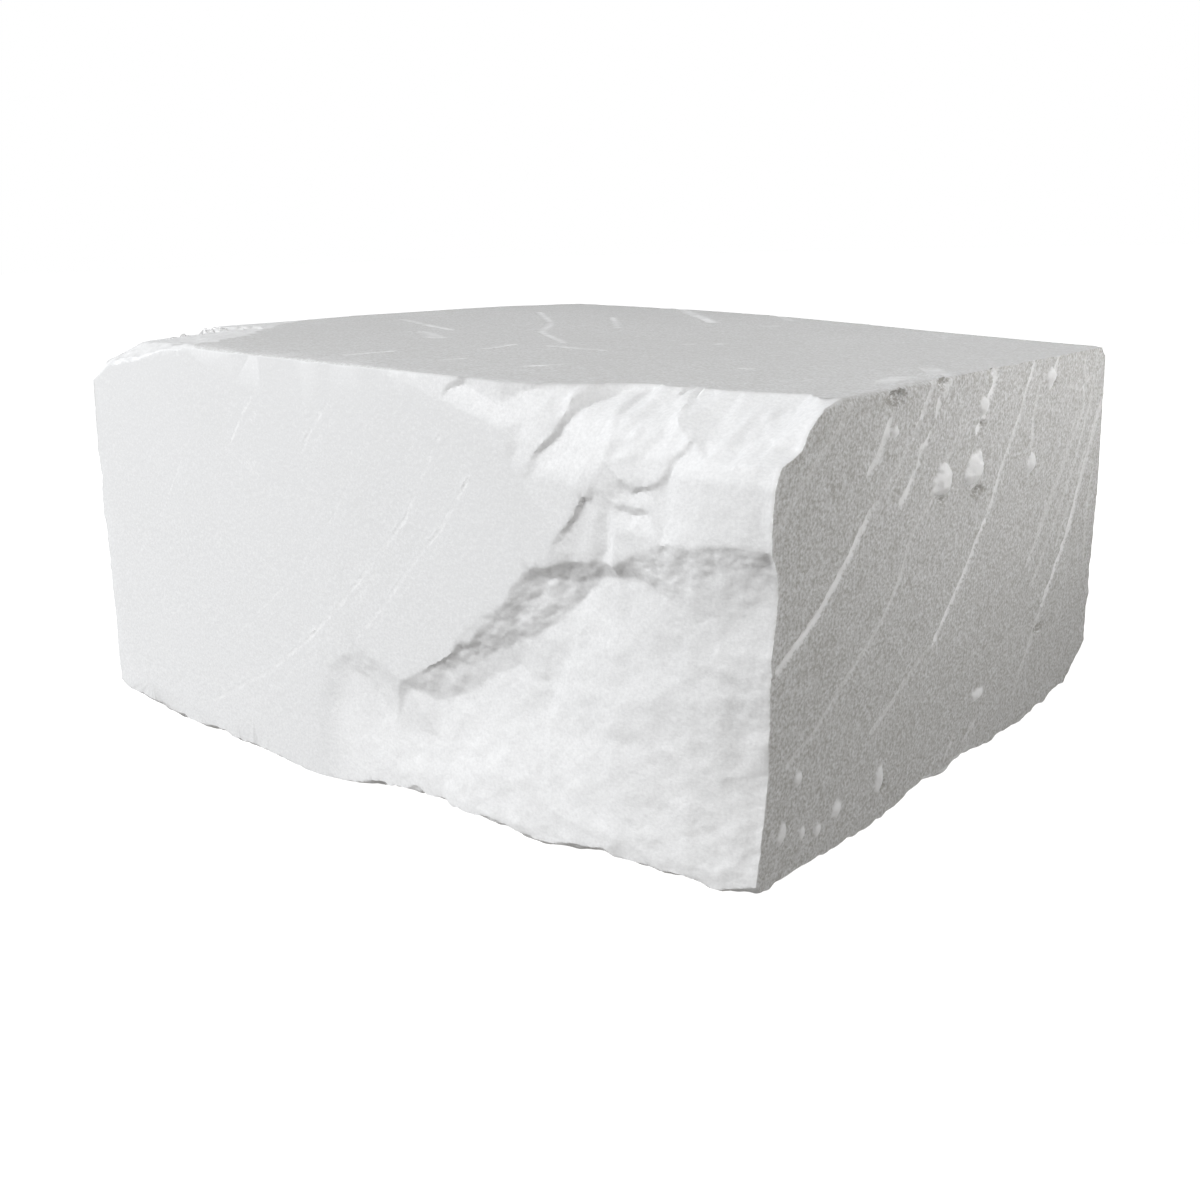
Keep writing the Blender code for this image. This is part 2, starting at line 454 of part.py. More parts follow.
def build():
    clear_scene()
    bm = lattice()
    cube = np.array([v.co for v in bm.verts])
    points = sawn_block(cube)
    wander(points, cube)
    break_front(points, cube)
    tear_side(points, cube)
    chip(points)
    wear_base(points)
    points[cube[:, 2] < -0.499, 2] = np.maximum(points[cube[:, 2] < -0.499, 2], 0)
    middle = (points.min(axis=0) + points.max(axis=0)) / 2
    points -= (middle[0], middle[1], points[:, 2].min())
    for vert, place in zip(bm.verts, points):
        vert.co = Vector(place) * MM
    cutter = score_cutter(bm, middle)
    mesh = bpy.data.meshes.new(NAME)
    bm.to_mesh(mesh)
    bm.free()
    mesh.materials.append(chalk())
    block = bpy.data.objects.new(NAME, mesh)
    bpy.context.scene.collection.objects.link(block)
    block.modifiers.new("Split squares", "TRIANGULATE")
    thin = block.modifiers.new("Thin out flats", "DECIMATE")
    thin.ratio = TRIANGLES_KEPT / (2 * len(mesh.polygons))
    scored = block.modifiers.new("Scores", "BOOLEAN")
    scored.operation = "DIFFERENCE"
    scored.object = cutter
    print("middle", middle.round(3), "size", np.ptp(points, axis=0).round(3))


build()
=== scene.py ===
"""The finished surface of a sawn and broken chalk block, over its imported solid.

Lengths are in millimetres until the mesh is written in metres. X runs along the long side,
the broken front looks towards -Y, and Z is up.
"""

import math
from itertools import product

import bpy
import numpy as np
from mathutils import Matrix, Vector, geometry
from mathutils.bvhtree import BVHTree


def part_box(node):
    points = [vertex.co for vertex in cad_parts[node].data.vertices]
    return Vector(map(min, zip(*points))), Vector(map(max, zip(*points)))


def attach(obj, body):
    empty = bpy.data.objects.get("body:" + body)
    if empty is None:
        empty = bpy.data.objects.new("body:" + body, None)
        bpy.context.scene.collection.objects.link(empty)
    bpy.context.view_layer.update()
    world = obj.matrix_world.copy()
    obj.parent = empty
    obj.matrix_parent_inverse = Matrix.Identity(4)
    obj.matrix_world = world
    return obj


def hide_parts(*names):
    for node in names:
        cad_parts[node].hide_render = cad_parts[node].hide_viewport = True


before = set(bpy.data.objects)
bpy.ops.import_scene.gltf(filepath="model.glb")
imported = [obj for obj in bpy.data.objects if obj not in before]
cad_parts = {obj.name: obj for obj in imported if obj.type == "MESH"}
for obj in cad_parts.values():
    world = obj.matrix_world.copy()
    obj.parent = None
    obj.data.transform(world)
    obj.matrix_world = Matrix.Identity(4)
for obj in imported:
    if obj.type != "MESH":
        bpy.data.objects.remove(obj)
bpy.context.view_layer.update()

MM = 0.001
NODE = "chalk_block"

# Corners of the sawn block before it was broken, as (x, y, z).
FRONT_LEFT_BASE = (-28.5, -25.6, 0.0)
FRONT_RIGHT_BASE = (27.8, -25.6, 0.0)
BACK_RIGHT_BASE = (27.2, 19.6, 0.0)
BACK_LEFT_BASE = (-26.6, 23.0, 0.0)
FRONT_LEFT_TOP = (-27.9, -24.6, 27.05)
FRONT_RIGHT_TOP = (29.4, -24.6, 24.8)
BACK_RIGHT_TOP = (28.8, 15.6, 24.9)
BACK_LEFT_TOP = (-26.4, 21.4, 26.95)

BACK_BULGE = 2.5  # how far the back saw cut wanders out at its middle
BACK_BULGE_MIDDLE, BACK_BULGE_SPREAD = -8.0, 20.0
LEFT_BULGE = 1.3
LEFT_BULGE_MIDDLE, LEFT_BULGE_SPREAD = -4.0, 10.0
TOP_CROWN = 0.25  # rise of the top towards its back
TOP_CROWN_MIDDLE, TOP_CROWN_SPREAD = (-8.0, 17.0), (24.0, 13.0)
SAW_WANDER, SAW_WANDER_LENGTH = 0.07, 9.0  # how far the top, left and right stray, and over what length
CUT_REACH, CUT_FALLOFF = 24.0, 1.4  # points this far behind the break still move, ever less

# The break in the front, as lines of (x, z, depth behind the front saw cut).
TOP_EDGE = (
    (-6, 27.2, 0.0), (2, 26.8, 0.15), (10, 26.2, 0.3), (12.2, 26.0, 0.4), (14.0, 25.9, 1.0),
    (15.6, 25.8, 1.9), (16.7, 25.8, 3.4), (18.0, 25.7, 4.6), (21.0, 25.6, 5.8), (22.1, 25.6, 6.4),
    (24.0, 25.5, 6.8), (27.0, 25.4, 7.9), (29.4, 25.3, 9.4), (32.0, 25.3, 9.8),
)
SCAR_RIM = (
    (2.0, 26.0, 0.0), (8.1, 24.3, 0.0), (12.7, 23.0, 0.0), (13.7, 21.0, 0.0), (14.2, 20.4, 0.02),
)
SCAR_FLOOR = (
    (9.5, 25.1, 0.45), (12.4, 24.2, 0.45), (14.0, 23.4, 0.4), (13.6, 24.8, 0.75), (15.0, 24.0, 0.6),
)
FIRST_VALLEY_LIP = (
    (16.9, 25.2, 3.5), (16.8, 25.1, 2.9), (16.7, 24.9, 2.3), (16.6, 24.5, 1.75), (16.5, 24.1, 1.25),
    (16.3, 23.8, 0.9), (16.1, 23.3, 0.62), (15.7, 22.8, 0.42), (15.3, 22.5, 0.27), (15.0, 22.1, 0.17),
    (14.7, 21.5, 0.1), (14.6, 20.9, 0.05),
)
FIRST_VALLEY = (
    (17.2, 25.1, 3.8), (17.1, 24.9, 3.2), (17.0, 24.7, 2.6), (16.8, 24.4, 2.05), (16.7, 24.0, 1.6),
    (16.6, 23.6, 1.25), (16.4, 23.2, 1.0), (16.1, 22.8, 0.8), (15.6, 22.4, 0.6), (15.2, 22.0, 0.4),
    (15.1, 21.5, 0.28), (14.9, 20.8, 0.15),
)
FORK = (
    (15.5, 25.2, 1.85), (15.9, 24.6, 1.5), (16.3, 24.0, 1.15),
)
FORK_RIDGE = (
    (16.0, 25.1, 2.05), (16.4, 24.6, 1.5),
)
SLAB_TOP = (
    (17.8, 24.9, 4.3), (18.6, 24.4, 2.85), (19.2, 23.7, 1.6), (19.6, 22.8, 0.75), (19.5, 21.9, 0.35),
    (19.0, 20.8, 0.2), (17.6, 20.4, 0.1),
)
SLAB_CREASE = (
    (19.0, 24.9, 4.95), (19.9, 24.4, 3.7), (20.8, 23.7, 2.4), (21.4, 22.9, 1.45), (21.6, 22.0, 1.0),
    (21.8, 21.2, 0.8),
)
SLAB_BACK = (
    (21.0, 24.5, 4.2), (21.9, 23.7, 2.65), (22.3, 22.9, 1.75),
)
SECOND_STEP_LIP = (
    (21.4, 25.0, 5.9), (21.8, 24.8, 5.0), (22.1, 24.5, 4.1), (22.4, 24.2, 3.2), (22.6, 23.8, 2.55),
    (23.2, 23.3, 2.1), (23.9, 22.9, 1.8),
)
SECOND_STEP_FOOT = (
    (21.7, 25.0, 6.1), (22.0, 24.7, 5.2), (22.3, 24.4, 4.3), (22.6, 24.1, 3.42), (22.9, 23.7, 2.74),
    (23.4, 23.3, 2.3), (24.1, 22.8, 2.0),
)
SHELF_BACK = (
    (24.4, 22.9, 2.4), (25.4, 23.0, 2.6), (26.4, 22.9, 2.85), (27.7, 22.9, 3.1), (29.1, 22.7, 3.4),
)
SHELF_FRONT = (
    (25.2, 22.0, 1.35), (26.6, 22.1, 1.4), (27.9, 22.2, 1.5), (28.9, 22.1, 1.72),
)
HOLLOW_LIP = (
    (23.2, 22.0, 1.25), (23.0, 21.4, 1.08), (22.7, 21.0, 0.95), (22.4, 20.8, 0.84), (22.0, 20.7, 0.75),
    (21.4, 20.6, 0.62), (21.0, 20.8, 0.5), (20.5, 21.0, 0.38),
)
HOLLOW_FOOT = (
    (23.4, 21.8, 1.38), (23.2, 21.2, 1.22), (22.9, 20.7, 1.1), (22.4, 20.5, 0.98), (21.8, 20.4, 0.9),
    (21.2, 20.3, 0.78), (20.8, 20.5, 0.64), (20.3, 20.7, 0.46),
)
SMALL_LIP = (
    (20.1, 19.9, 0.42), (20.7, 19.8, 0.5), (21.3, 19.8, 0.6), (22.0, 19.8, 0.7),
)
SMALL_FOOT = (
    (20.1, 19.6, 0.5), (20.6, 19.5, 0.64), (21.2, 19.4, 0.78), (22.0, 19.4, 0.86),
)
GROOVE_SIDE = (
    (22.5, 20.0, 0.9), (22.6, 19.4, 0.75), (22.6, 18.4, 0.62),
)
GROOVE = (
    (23.2, 20.3, 1.08), (23.2, 19.4, 0.93), (23.2, 18.4, 0.78),
)
GROOVE_EDGE = (
    (24.0, 21.2, 1.05), (24.1, 20.2, 0.95), (24.1, 19.3, 0.85), (24.1, 18.6, 0.72),
)
PLATE = (
    (25.4, 21.3, 1.0), (26.8, 21.3, 1.1), (28.1, 21.3, 1.3), (25.2, 20.1, 0.9), (26.5, 20.2, 1.0),
    (27.5, 20.3, 1.14), (28.4, 20.3, 1.34), (25.3, 18.9, 0.8), (26.5, 19.0, 0.93), (27.6, 19.1, 1.1),
    (28.4, 19.2, 1.32), (21.3, 18.5, 0.44), (20.3, 17.9, 0.4), (21.9, 18.1, 0.52),
)
THIRD_STEP_LIP = (
    (18.2, 19.8, 0.15), (17.8, 19.0, 0.12), (17.2, 18.3, 0.1), (16.7, 17.8, 0.08), (16.2, 17.2, 0.05),
)
THIRD_STEP_FOOT = (
    (18.2, 19.7, 0.38), (17.9, 18.9, 0.36), (17.4, 18.2, 0.32), (16.9, 17.6, 0.26), (16.6, 17.0, 0.18),
)
FOURTH_STEP = (
    (18.8, 19.7, 0.38), (18.3, 18.7, 0.42), (17.8, 17.7, 0.42), (17.5, 16.7, 0.45),
)
FOURTH_RIDGE = (
    (19.3, 19.6, 0.4), (19.0, 18.8, 0.42), (18.7, 17.8, 0.42), (18.1, 17.0, 0.46),
)
FIFTH_STEP = (
    (19.6, 18.9, 0.52), (19.6, 18.2, 0.6), (19.6, 17.5, 0.66), (19.4, 16.9, 0.7),
)
FIFTH_RIDGE = (
    (20.1, 18.9, 0.42), (20.2, 18.2, 0.38), (20.3, 17.5, 0.38),
)
LEDGE_LIP = (
    (28.9, 18.0, 1.45), (28.3, 18.2, 1.25), (27.5, 18.2, 1.05), (26.5, 18.2, 0.88), (25.4, 18.0, 0.75),
    (24.0, 17.9, 0.62), (23.1, 18.0, 0.58), (22.2, 17.7, 0.52), (21.4, 17.3, 0.46), (20.8, 16.9, 0.44),
    (20.0, 16.6, 0.52), (19.3, 16.6, 0.68), (18.7, 16.7, 0.52), (17.9, 16.5, 0.48), (17.0, 16.4, 0.38),
    (16.5, 16.3, 0.18), (15.7, 15.9, 0.1), (14.7, 15.7, 0.08), (14.0, 15.2, 0.06), (13.4, 14.5, 0.05),
    (12.9, 13.7, 0.05), (12.1, 13.1, 0.05), (10.7, 12.5, 0.05), (9.5, 11.7, 0.04), (9.1, 11.0, 0.04),
    (8.6, 10.2, 0.04), (7.3, 9.4, 0.03), (5.8, 8.6, 0.03),
)
LEDGE_FOOT = (
    (28.6, 17.4, 1.88), (28.1, 17.2, 1.67), (27.3, 17.1, 1.44), (26.3, 16.8, 1.27), (25.4, 16.5, 1.15),
    (24.5, 15.9, 1.15), (23.4, 15.3, 1.18), (22.3, 15.5, 1.15), (21.4, 15.8, 1.12), (20.0, 15.7, 1.18),
    (18.9, 15.6, 1.25), (18.0, 15.6, 1.18), (16.9, 15.4, 1.0), (16.1, 15.3, 0.82), (15.3, 15.1, 0.64),
    (14.6, 14.8, 0.46), (14.1, 14.3, 0.34), (13.5, 13.8, 0.28), (12.7, 13.2, 0.23), (11.8, 12.5, 0.18),
    (10.5, 11.7, 0.14), (10.0, 11.0, 0.12),
)
LENS = (
    (15.1, 14.3, 0.78), (14.1, 13.6, 0.58), (12.8, 12.7, 0.44), (11.4, 11.8, 0.34),
)
LOWER_LIP = (
    (17.5, 15.3, 1.22), (17.0, 14.8, 1.1), (16.2, 14.2, 0.98), (15.4, 13.6, 0.86), (14.4, 13.0, 0.74),
    (13.4, 12.4, 0.64), (12.0, 11.7, 0.53), (10.5, 11.0, 0.43), (9.1, 10.3, 0.32), (7.4, 9.4, 0.2),
    (5.9, 8.5, 0.1),
)
LOWER_FOOT = (
    (17.9, 14.9, 1.45), (17.4, 14.3, 1.4), (16.7, 13.6, 1.3), (15.9, 13.0, 1.2), (14.7, 12.2, 1.1),
    (13.5, 11.6, 1.0), (11.9, 10.8, 0.88), (10.4, 10.1, 0.76), (8.9, 9.3, 0.63), (7.4, 8.5, 0.5),
    (5.9, 7.7, 0.37), (4.5, 7.3, 0.25),
)
LOW_RIM = (
    (4.1, 7.7, 0.0), (2.8, 8.3, 0.0), (0.7, 8.9, 0.0), (-1.4, 8.3, 0.0), (-2.9, 7.0, 0.0),
    (-3.7, 5.0, 0.0), (-4.1, 2.3, 0.0), (-4.4, -1.1, 0.0),
)
LOW_FACE = (
    (-0.8, 7.5, 0.2), (1.6, 6.7, 0.38), (-1.6, 5.3, 0.22), (-1.8, 2.7, 0.2), (-1.4, 0.2, 0.2),
    (3.2, 4.8, 0.5), (3.4, 2.2, 0.38), (6.6, 6.8, 0.85), (6.8, 4.5, 0.62), (6.9, 1.8, 0.4),
    (9.0, 7.7, 0.95), (11.2, 9.1, 1.02), (9.9, 6.3, 0.85), (10.1, 3.4, 0.58), (10.2, 0.9, 0.42),
    (12.9, 10.1, 1.1), (13.0, 8.0, 0.95), (13.2, 4.7, 0.68), (13.3, 0.9, 0.56),
)
LOW_VALLEY = (
    (16.7, 11.6, 1.1), (15.6, 9.1, 1.08), (15.1, 7.2, 1.02), (14.9, 5.0, 0.88), (14.4, 2.6, 0.72),
)
BROAD_FACE = (
    (18.6, 14.2, 1.25), (18.1, 13.2, 1.15), (17.5, 9.5, 0.9), (17.5, 5.6, 0.76), (17.7, 2.0, 0.7),
    (19.6, 12.5, 1.0), (19.8, 9.4, 0.8), (19.8, 5.9, 0.78), (19.9, 2.0, 0.78), (22.1, 13.7, 1.1),
    (22.2, 9.8, 0.98), (22.2, 6.0, 1.08), (22.2, 1.5, 1.1), (24.4, 14.1, 1.35), (24.5, 10.2, 1.32),
    (24.4, 5.9, 1.5), (24.5, 1.2, 1.5), (26.0, 14.4, 1.58), (26.1, 10.4, 1.65), (26.0, 6.1, 1.92),
    (26.1, 1.2, 1.95), (27.3, 14.6, 1.9), (27.3, 10.6, 2.0), (27.2, 6.3, 2.38), (27.1, 1.9, 2.35),
)
BASE_EDGE = (
    (-2.0, -1.0, 0.4), (3.4, -1.0, 0.45), (8.0, -1.0, 0.55), (13.0, -1.0, 0.7), (16.0, -1.0, 0.85),
    (18.7, -1.0, 1.05), (21.4, -1.0, 1.3), (24.1, -1.0, 1.7), (26.5, -1.0, 2.3),
)
CORNER_EDGE = (
    (29.5, 24.6, 6.4), (29.5, 24.3, 4.8), (29.5, 23.5, 3.9), (29.5, 22.6, 3.4), (29.5, 22.1, 1.9),
    (29.4, 21.0, 1.35), (29.3, 19.7, 1.3), (29.2, 17.9, 1.4), (29.1, 17.2, 1.8), (29.0, 16.8, 2.1),
    (29.0, 16.2, 2.3), (28.9, 12.8, 2.35), (28.7, 10.6, 2.45), (28.6, 8.8, 2.75), (28.5, 6.8, 3.05),
    (28.4, 5.0, 2.9), (28.3, 2.4, 2.85), (28.2, 0.6, 2.8), (28.2, -1.0, 3.2),
)
CREASES = (
    TOP_EDGE, SCAR_RIM, FIRST_VALLEY_LIP, FIRST_VALLEY, FORK, FORK_RIDGE, SLAB_TOP, SLAB_CREASE,
    SECOND_STEP_LIP, SECOND_STEP_FOOT, SHELF_BACK, SHELF_FRONT, HOLLOW_LIP, HOLLOW_FOOT, SMALL_LIP,
    SMALL_FOOT, GROOVE_SIDE, GROOVE, GROOVE_EDGE, THIRD_STEP_LIP, THIRD_STEP_FOOT, FOURTH_STEP,
    FOURTH_RIDGE, FIFTH_STEP, FIFTH_RIDGE, LEDGE_LIP, LEDGE_FOOT, LENS, LOWER_LIP, LOWER_FOOT,
    LOW_RIM, LOW_VALLEY, BASE_EDGE, CORNER_EDGE,
)
LOOSE_POINTS = (SCAR_FLOOR, SLAB_BACK, PLATE, LOW_FACE, BROAD_FACE)
BREAK_FRAME = (
    (-8, -2, 0.0), (-8, 28, 0.0), (34, 28, 10.5), (34, 22.6, 3.4), (34, 16, 2.3), (34, -2, 3.4),
)
BREAK_GRAIN = ((4.0, 0.10), (1.7, 0.05), (0.8, 0.03))  # (size of lump, height)

# Wear along the bottom edges: height of the missing strip along each side.
FRONT_BASE_WEAR = (
    (-28.4, 2.0), (-25.5, 1.5), (-20.6, 1.1), (-17.2, 0.75), (-10.3, 0.55), (-5.0, 0.05), (-3.5, 0.0),
    (-1.5, 0.2), (1.4, 0.85), (5.0, 1.4), (6.8, 1.6), (8.0, 1.2), (10.0, 1.0), (12.4, 0.85),
    (14.6, 0.75), (17.5, 1.1), (19.0, 1.35), (21.4, 1.4), (24.0, 1.3), (26.1, 1.2), (28.0, 1.1),
)
RIGHT_BASE_WEAR = (
    (-25, 0.1), (-11, 0.2), (-8.2, 0.5), (-6, 0.95), (-2, 1.0), (0.4, 1.3), (3.5, 0.9), (7.4, 1.0),
    (11.4, 1.4), (14.8, 1.9), (19, 2.6),
)
BACK_BASE_WEAR = ((-30, 1.6), (-12, 0.7), (4, 1.2), (28, 2.2))
LEFT_BASE_WEAR = ((-26, 1.9), (-10, 0.8), (8, 1.3), (24, 1.0))
WEAR_LEAN = 1.72  # how much further the wear runs under the block than up its side
LEAST_WEAR, UNWORN = 0.02, 99.0  # below this height an edge is left alone

# Broken corners and edges: a point on the break, the way it faces, and how rough it is.
CHIPS = (
    ((-24.5, -24.6, 25.25), (-0.15, -0.38, 1.0), 0.12),  # front left corner of the top
    ((-26.4, -24.6, 24.9), (-0.54, -0.93, 1.0), 0.15),  # and the corner's own tip
    ((-22.8, -13.0, 26.85), (-0.038, -0.048, 1.0), 0.06),  # thin flake off the top behind it
    ((-28.9, -8.0, 26.75), (-0.60, 0.0, 0.80), 0.25),  # left edge of the top
    ((-26.3, 20.0, 25.9), (-0.55, 0.35, 0.76), 0.30),  # back left corner of the top
    ((27.5, 17.0, 3.1), (0.30, 0.62, -0.72), 0.25),  # back right corner of the base
    ((-26.6, 21.5, 3.0), (-0.5, 0.6, -0.62), 0.35),  # back left corner of the base
    ((28.7, 16.4, 20.0), (0.74, 0.67, 0.02), 0.12),  # back right upright edge
    ((-28.0, -24.9, 12.0), (-0.7, -0.71, 0.0), 0.12),  # front left upright edge
    ((-26.9, 22.2, 12.0), (-0.6, 0.8, 0.0), 0.30),  # back left upright edge
    ((27.75, -22.9, 0.45), (0.35, -0.60, -0.72), 0.15),  # front right corner of the base
    ((0.0, -24.56, 25.86), (0.03, -0.55, 0.83), 0.05),  # front edge of the top
    ((29.0, 0.0, 24.8), (0.7, 0.0, 0.71), 0.05),  # right edge of the top
    ((28.65, 15.3, 24.7), (0.55, 0.5, 0.67), 0.06),  # back right corner of the top
    ((0.0, 22.8, 25.6), (0.03, 0.6, 0.8), 0.12),  # back edge of the top
)
CHIP_LUMP = 1.9  # size of the lumps on them

# Hollows torn out of the right side: (y, z, half length, half height, depth).
HOLLOWS = (
    (-1.8, 17.8, 1.0, 0.4, 0.4), (-6.4, 18.0, 0.5, 0.35, 0.3), (5.9, 17.9, 0.4, 0.3, 0.25),
    (7.8, 23.2, 0.4, 0.3, 0.25), (-1.8, 21.8, 0.35, 0.3, 0.3), (-12.5, 24.3, 1.1, 0.5, 0.5),
    (-7.3, 24.6, 0.7, 0.4, 0.4), (-0.8, 24.7, 0.7, 0.4, 0.35), (9.5, 6.9, 0.7, 0.4, 0.3),
    (-10.4, 2.2, 0.35, 0.6, 0.3),
)
# Crumbs stuck to that side: (y, z, half length, half height, how far each stands out).
CRUMBS = (
    (-2.6, 19.3, 1.1, 1.0, 0.45), (-6.4, 19.1, 1.05, 0.95, 0.42), (5.4, 18.6, 0.6, 0.7, 0.3),
    (7.1, 23.7, 0.55, 0.7, 0.3), (-2.1, 22.8, 0.5, 0.7, 0.3), (-12.4, 22.5, 0.4, 0.4, 0.2),
    (1.0, 4.6, 0.9, 0.5, 0.25), (-11.0, 2.7, 0.45, 0.9, 0.25), (-15.4, 2.4, 0.45, 0.5, 0.2),
    (-19.6, 5.6, 0.4, 0.45, 0.18), (-20.8, 2.9, 0.35, 0.7, 0.15), (-18.8, 2.2, 0.35, 0.6, 0.15),
    (-17.2, 1.8, 0.4, 0.5, 0.15),
)
HOLLOW_RAGGED, HOLLOW_LUMP = 0.25, 0.9  # how uneven the rims of both are, and over what length
HOLLOW_STEEP = 1.5  # how steeply those rims rise or fall

# The working mesh: cells along each side, and where along the length they lie.
CELLS = (380, 300, 230)
CODE_STEP = 4096  # more than the cells of any side
LENGTH_SPREAD = ((0.0, 0.0), (0.3, 0.40), (1.0, 1.0))
TRIANGLES_KEPT = 192000
COLOUR_STEP = 0.3  # the mesh stays fine where the colour changes faster than this
FINE_CORNER = (-18.0, -24.0, 24.0)  # and to the left, front and top of this place
SHARP_ANGLE = 32.0  # degrees. Flatter edges are shaded smooth
EDGE_FADE = 0.004  # share of the block over which a side's marks and dust end at its edges

BREAK_START = -6.0  # there is no break to the left of this
PROBE_HEIGHT = 50.0  # depth readings look down on the sheet of the break from here
WARP = ((2.2, 0.14), (0.8, 0.10), (0.4, 0.08))  # how the ledges stray sideways: (size, distance)
FRESH_DEPTH, ROUGH_DEPTH = 0.25, 0.5  # depths at which the break is fully white, and fully rough
BROKEN_GRAIN = ((0.9, 0.03), (0.45, 0.022), (0.26, 0.014))  # (size of lump, height)
SMOOTH_SHARE = 0.5  # grain above the ledge, against that below it
SMOOTH_END = (-0.5, 0.2)  # the grain comes back between these, down from the lip
LEDGE_THINNEST = 0.4
LEDGE_ROUGH = 2.5  # grain on the ledge itself
LEDGE_FADE, LEDGE_END = 5.0, 1.05
LAYERS = 7.0  # thin layers that show along the ledge
LAYER_RISE = 0.045
LAYER_WAVES = ((2.5, 0.8), (0.7, 0.3))  # how they wander: (size of lump, share of a layer)
LAYER_PATCH = 1.3  # size of the patches in which they show
BREAK_WHITE_AND_LIGHT = ((4.0, 0.77), (11.0, 0.3))  # height, and how white the break is there. Fresh chalk is whiter, and the break is painted lighter low down: painted light
FRONT_PAINTED_LIGHT = ((0.0, 0.28), (24.0, 0.0))  # and the sawn front: painted light, whitest at its bottom

WEAR_WAVES = ((3.0, 0.25), (1.2, 0.2))  # (size of lump, share of the wear's height)
WEAR_GRAIN = (0.6, 0.12)  # (size of lump, height)

# Scores: a line across that side, then half width, depth, height of the lip, and whiteness.
RIGHT_MARKS = (
    (((-17.0, 24.4), (-17.9, 23.4), (-19.6, 22.1), (-21.6, 20.4), (-23.3, 18.9)), 0.16, 0.06, 0.05, 0.45),
    (((-13.3, 23.5), (-14.1, 22.4)), 0.12, 0.05, 0.04, 0.35),
    (((-12.9, 23.1), (-13.4, 22.2), (-13.8, 21.5), (-14.7, 20.8)), 0.24, 0.10, 0.12, 1.0),
    (((-8.4, 24.8), (-9.1, 23.7), (-9.7, 22.8), (-10.3, 22.0)), 0.17, 0.12, 0.10, 0.9),
    (((-6.6, 24.5), (-7.1, 24.0)), 0.20, 0.08, 0.10, 1.0),
    (((-7.7, 23.7), (-7.9, 23.0)), 0.17, 0.08, 0.10, 1.0),
    (((-8.4, 22.0), (-8.6, 21.6), (-9.3, 21.3), (-9.4, 20.5), (-10.0, 19.9)), 0.16, 0.10, 0.10, 0.9),
    (((-10.0, 19.9), (-10.4, 19.2), (-11.0, 18.6)), 0.26, 0.12, 0.14, 1.0),
    (((-9.6, 22.7), (-11.5, 20.7), (-12.6, 19.8), (-13.4, 19.0), (-14.4, 18.5)), 0.12, 0.08, 0.06, 0.5),
    (((-13.4, 19.0), (-14.4, 18.5), (-15.6, 17.1), (-16.6, 16.1), (-17.9, 14.9), (-19.4, 13.7),
      (-22.2, 12.0)), 0.20, 0.14, 0.11, 1.0),
    (((-0.4, 24.8), (-1.1, 23.6), (-1.6, 22.9), (-1.9, 22.1), (-2.6, 21.5)), 0.20, 0.14, 0.12, 1.0),
    (((-4.4, 22.7), (-5.5, 20.7), (-6.5, 19.7), (-7.7, 18.5)), 0.11, 0.05, 0.04, 0.4),
    (((-3.6, 22.6), (-4.8, 20.7)), 0.10, 0.05, 0.04, 0.35),
    (((-7.1, 18.5), (-8.6, 17.2), (-9.6, 16.4), (-10.2, 14.7), (-11.3, 13.1), (-12.0, 12.4)),
     0.14, 0.06, 0.05, 0.5),
    (((4.4, 24.7), (3.7, 23.3), (3.1, 21.6), (2.1, 20.2), (1.1, 18.5), (0.4, 16.9), (-0.3, 15.9)),
     0.16, 0.13, 0.10, 1.0),
    (((-0.3, 15.9), (-1.6, 14.3), (-2.6, 12.9), (-3.9, 11.5), (-5.7, 9.5)), 0.17, 0.13, 0.10, 1.0),
    (((-5.7, 9.5), (-7.7, 8.6), (-10.0, 7.2), (-12.3, 5.9)), 0.14, 0.07, 0.05, 0.6),
    (((7.8, 24.5), (7.6, 24.0), (7.2, 23.1)), 0.22, 0.10, 0.12, 1.0),
    (((5.5, 22.7), (5.1, 21.3), (5.3, 19.9), (5.3, 18.7)), 0.18, 0.08, 0.08, 0.6),
    (((5.3, 18.9), (5.4, 18.2)), 0.34, 0.06, 0.14, 1.0),
    (((16.0, 21.2), (15.1, 19.1), (13.7, 15.6), (13.0, 13.6), (11.9, 11.8), (10.7, 10.1), (9.6, 8.5)),
     0.24, 0.15, 0.12, 1.0),
    (((9.6, 8.5), (8.3, 6.0), (6.9, 3.9)), 0.20, 0.08, 0.07, 0.6),
    (((15.3, 20.6), (13.2, 16.4), (11.0, 12.4)), 0.13, 0.05, 0.04, 0.4),
    (((14.3, 24.4), (14.0, 21.2), (12.6, 17.7), (10.4, 14.2), (7.8, 10.5)), 0.16, 0.07, 0.06, 0.5),
    (((12.4, 24.4), (13.0, 21.1), (11.2, 18.3), (8.7, 14.7), (6.4, 11.8)), 0.16, 0.07, 0.06, 0.45),
    (((12.0, 20.9), (10.3, 17.4), (7.7, 14.0)), 0.15, 0.06, 0.05, 0.4),
    (((15.9, 16.6), (15.6, 14.3), (16.1, 10.7)), 0.15, 0.06, 0.05, 0.45),
    (((13.8, 23.2), (12.2, 22.5), (10.2, 22.9)), 0.16, 0.07, 0.06, 0.5),
    (((-12.0, 12.4), (-13.6, 11.1), (-16.0, 9.5), (-18.4, 7.6), (-20.7, 6.6)), 0.14, 0.07, 0.05, 0.55),
    (((1.3, 2.7), (-0.2, 1.8)), 0.14, 0.06, 0.05, 0.6),
    (((-1.7, 2.5), (-2.5, 1.5)), 0.14, 0.06, 0.05, 0.6),
)
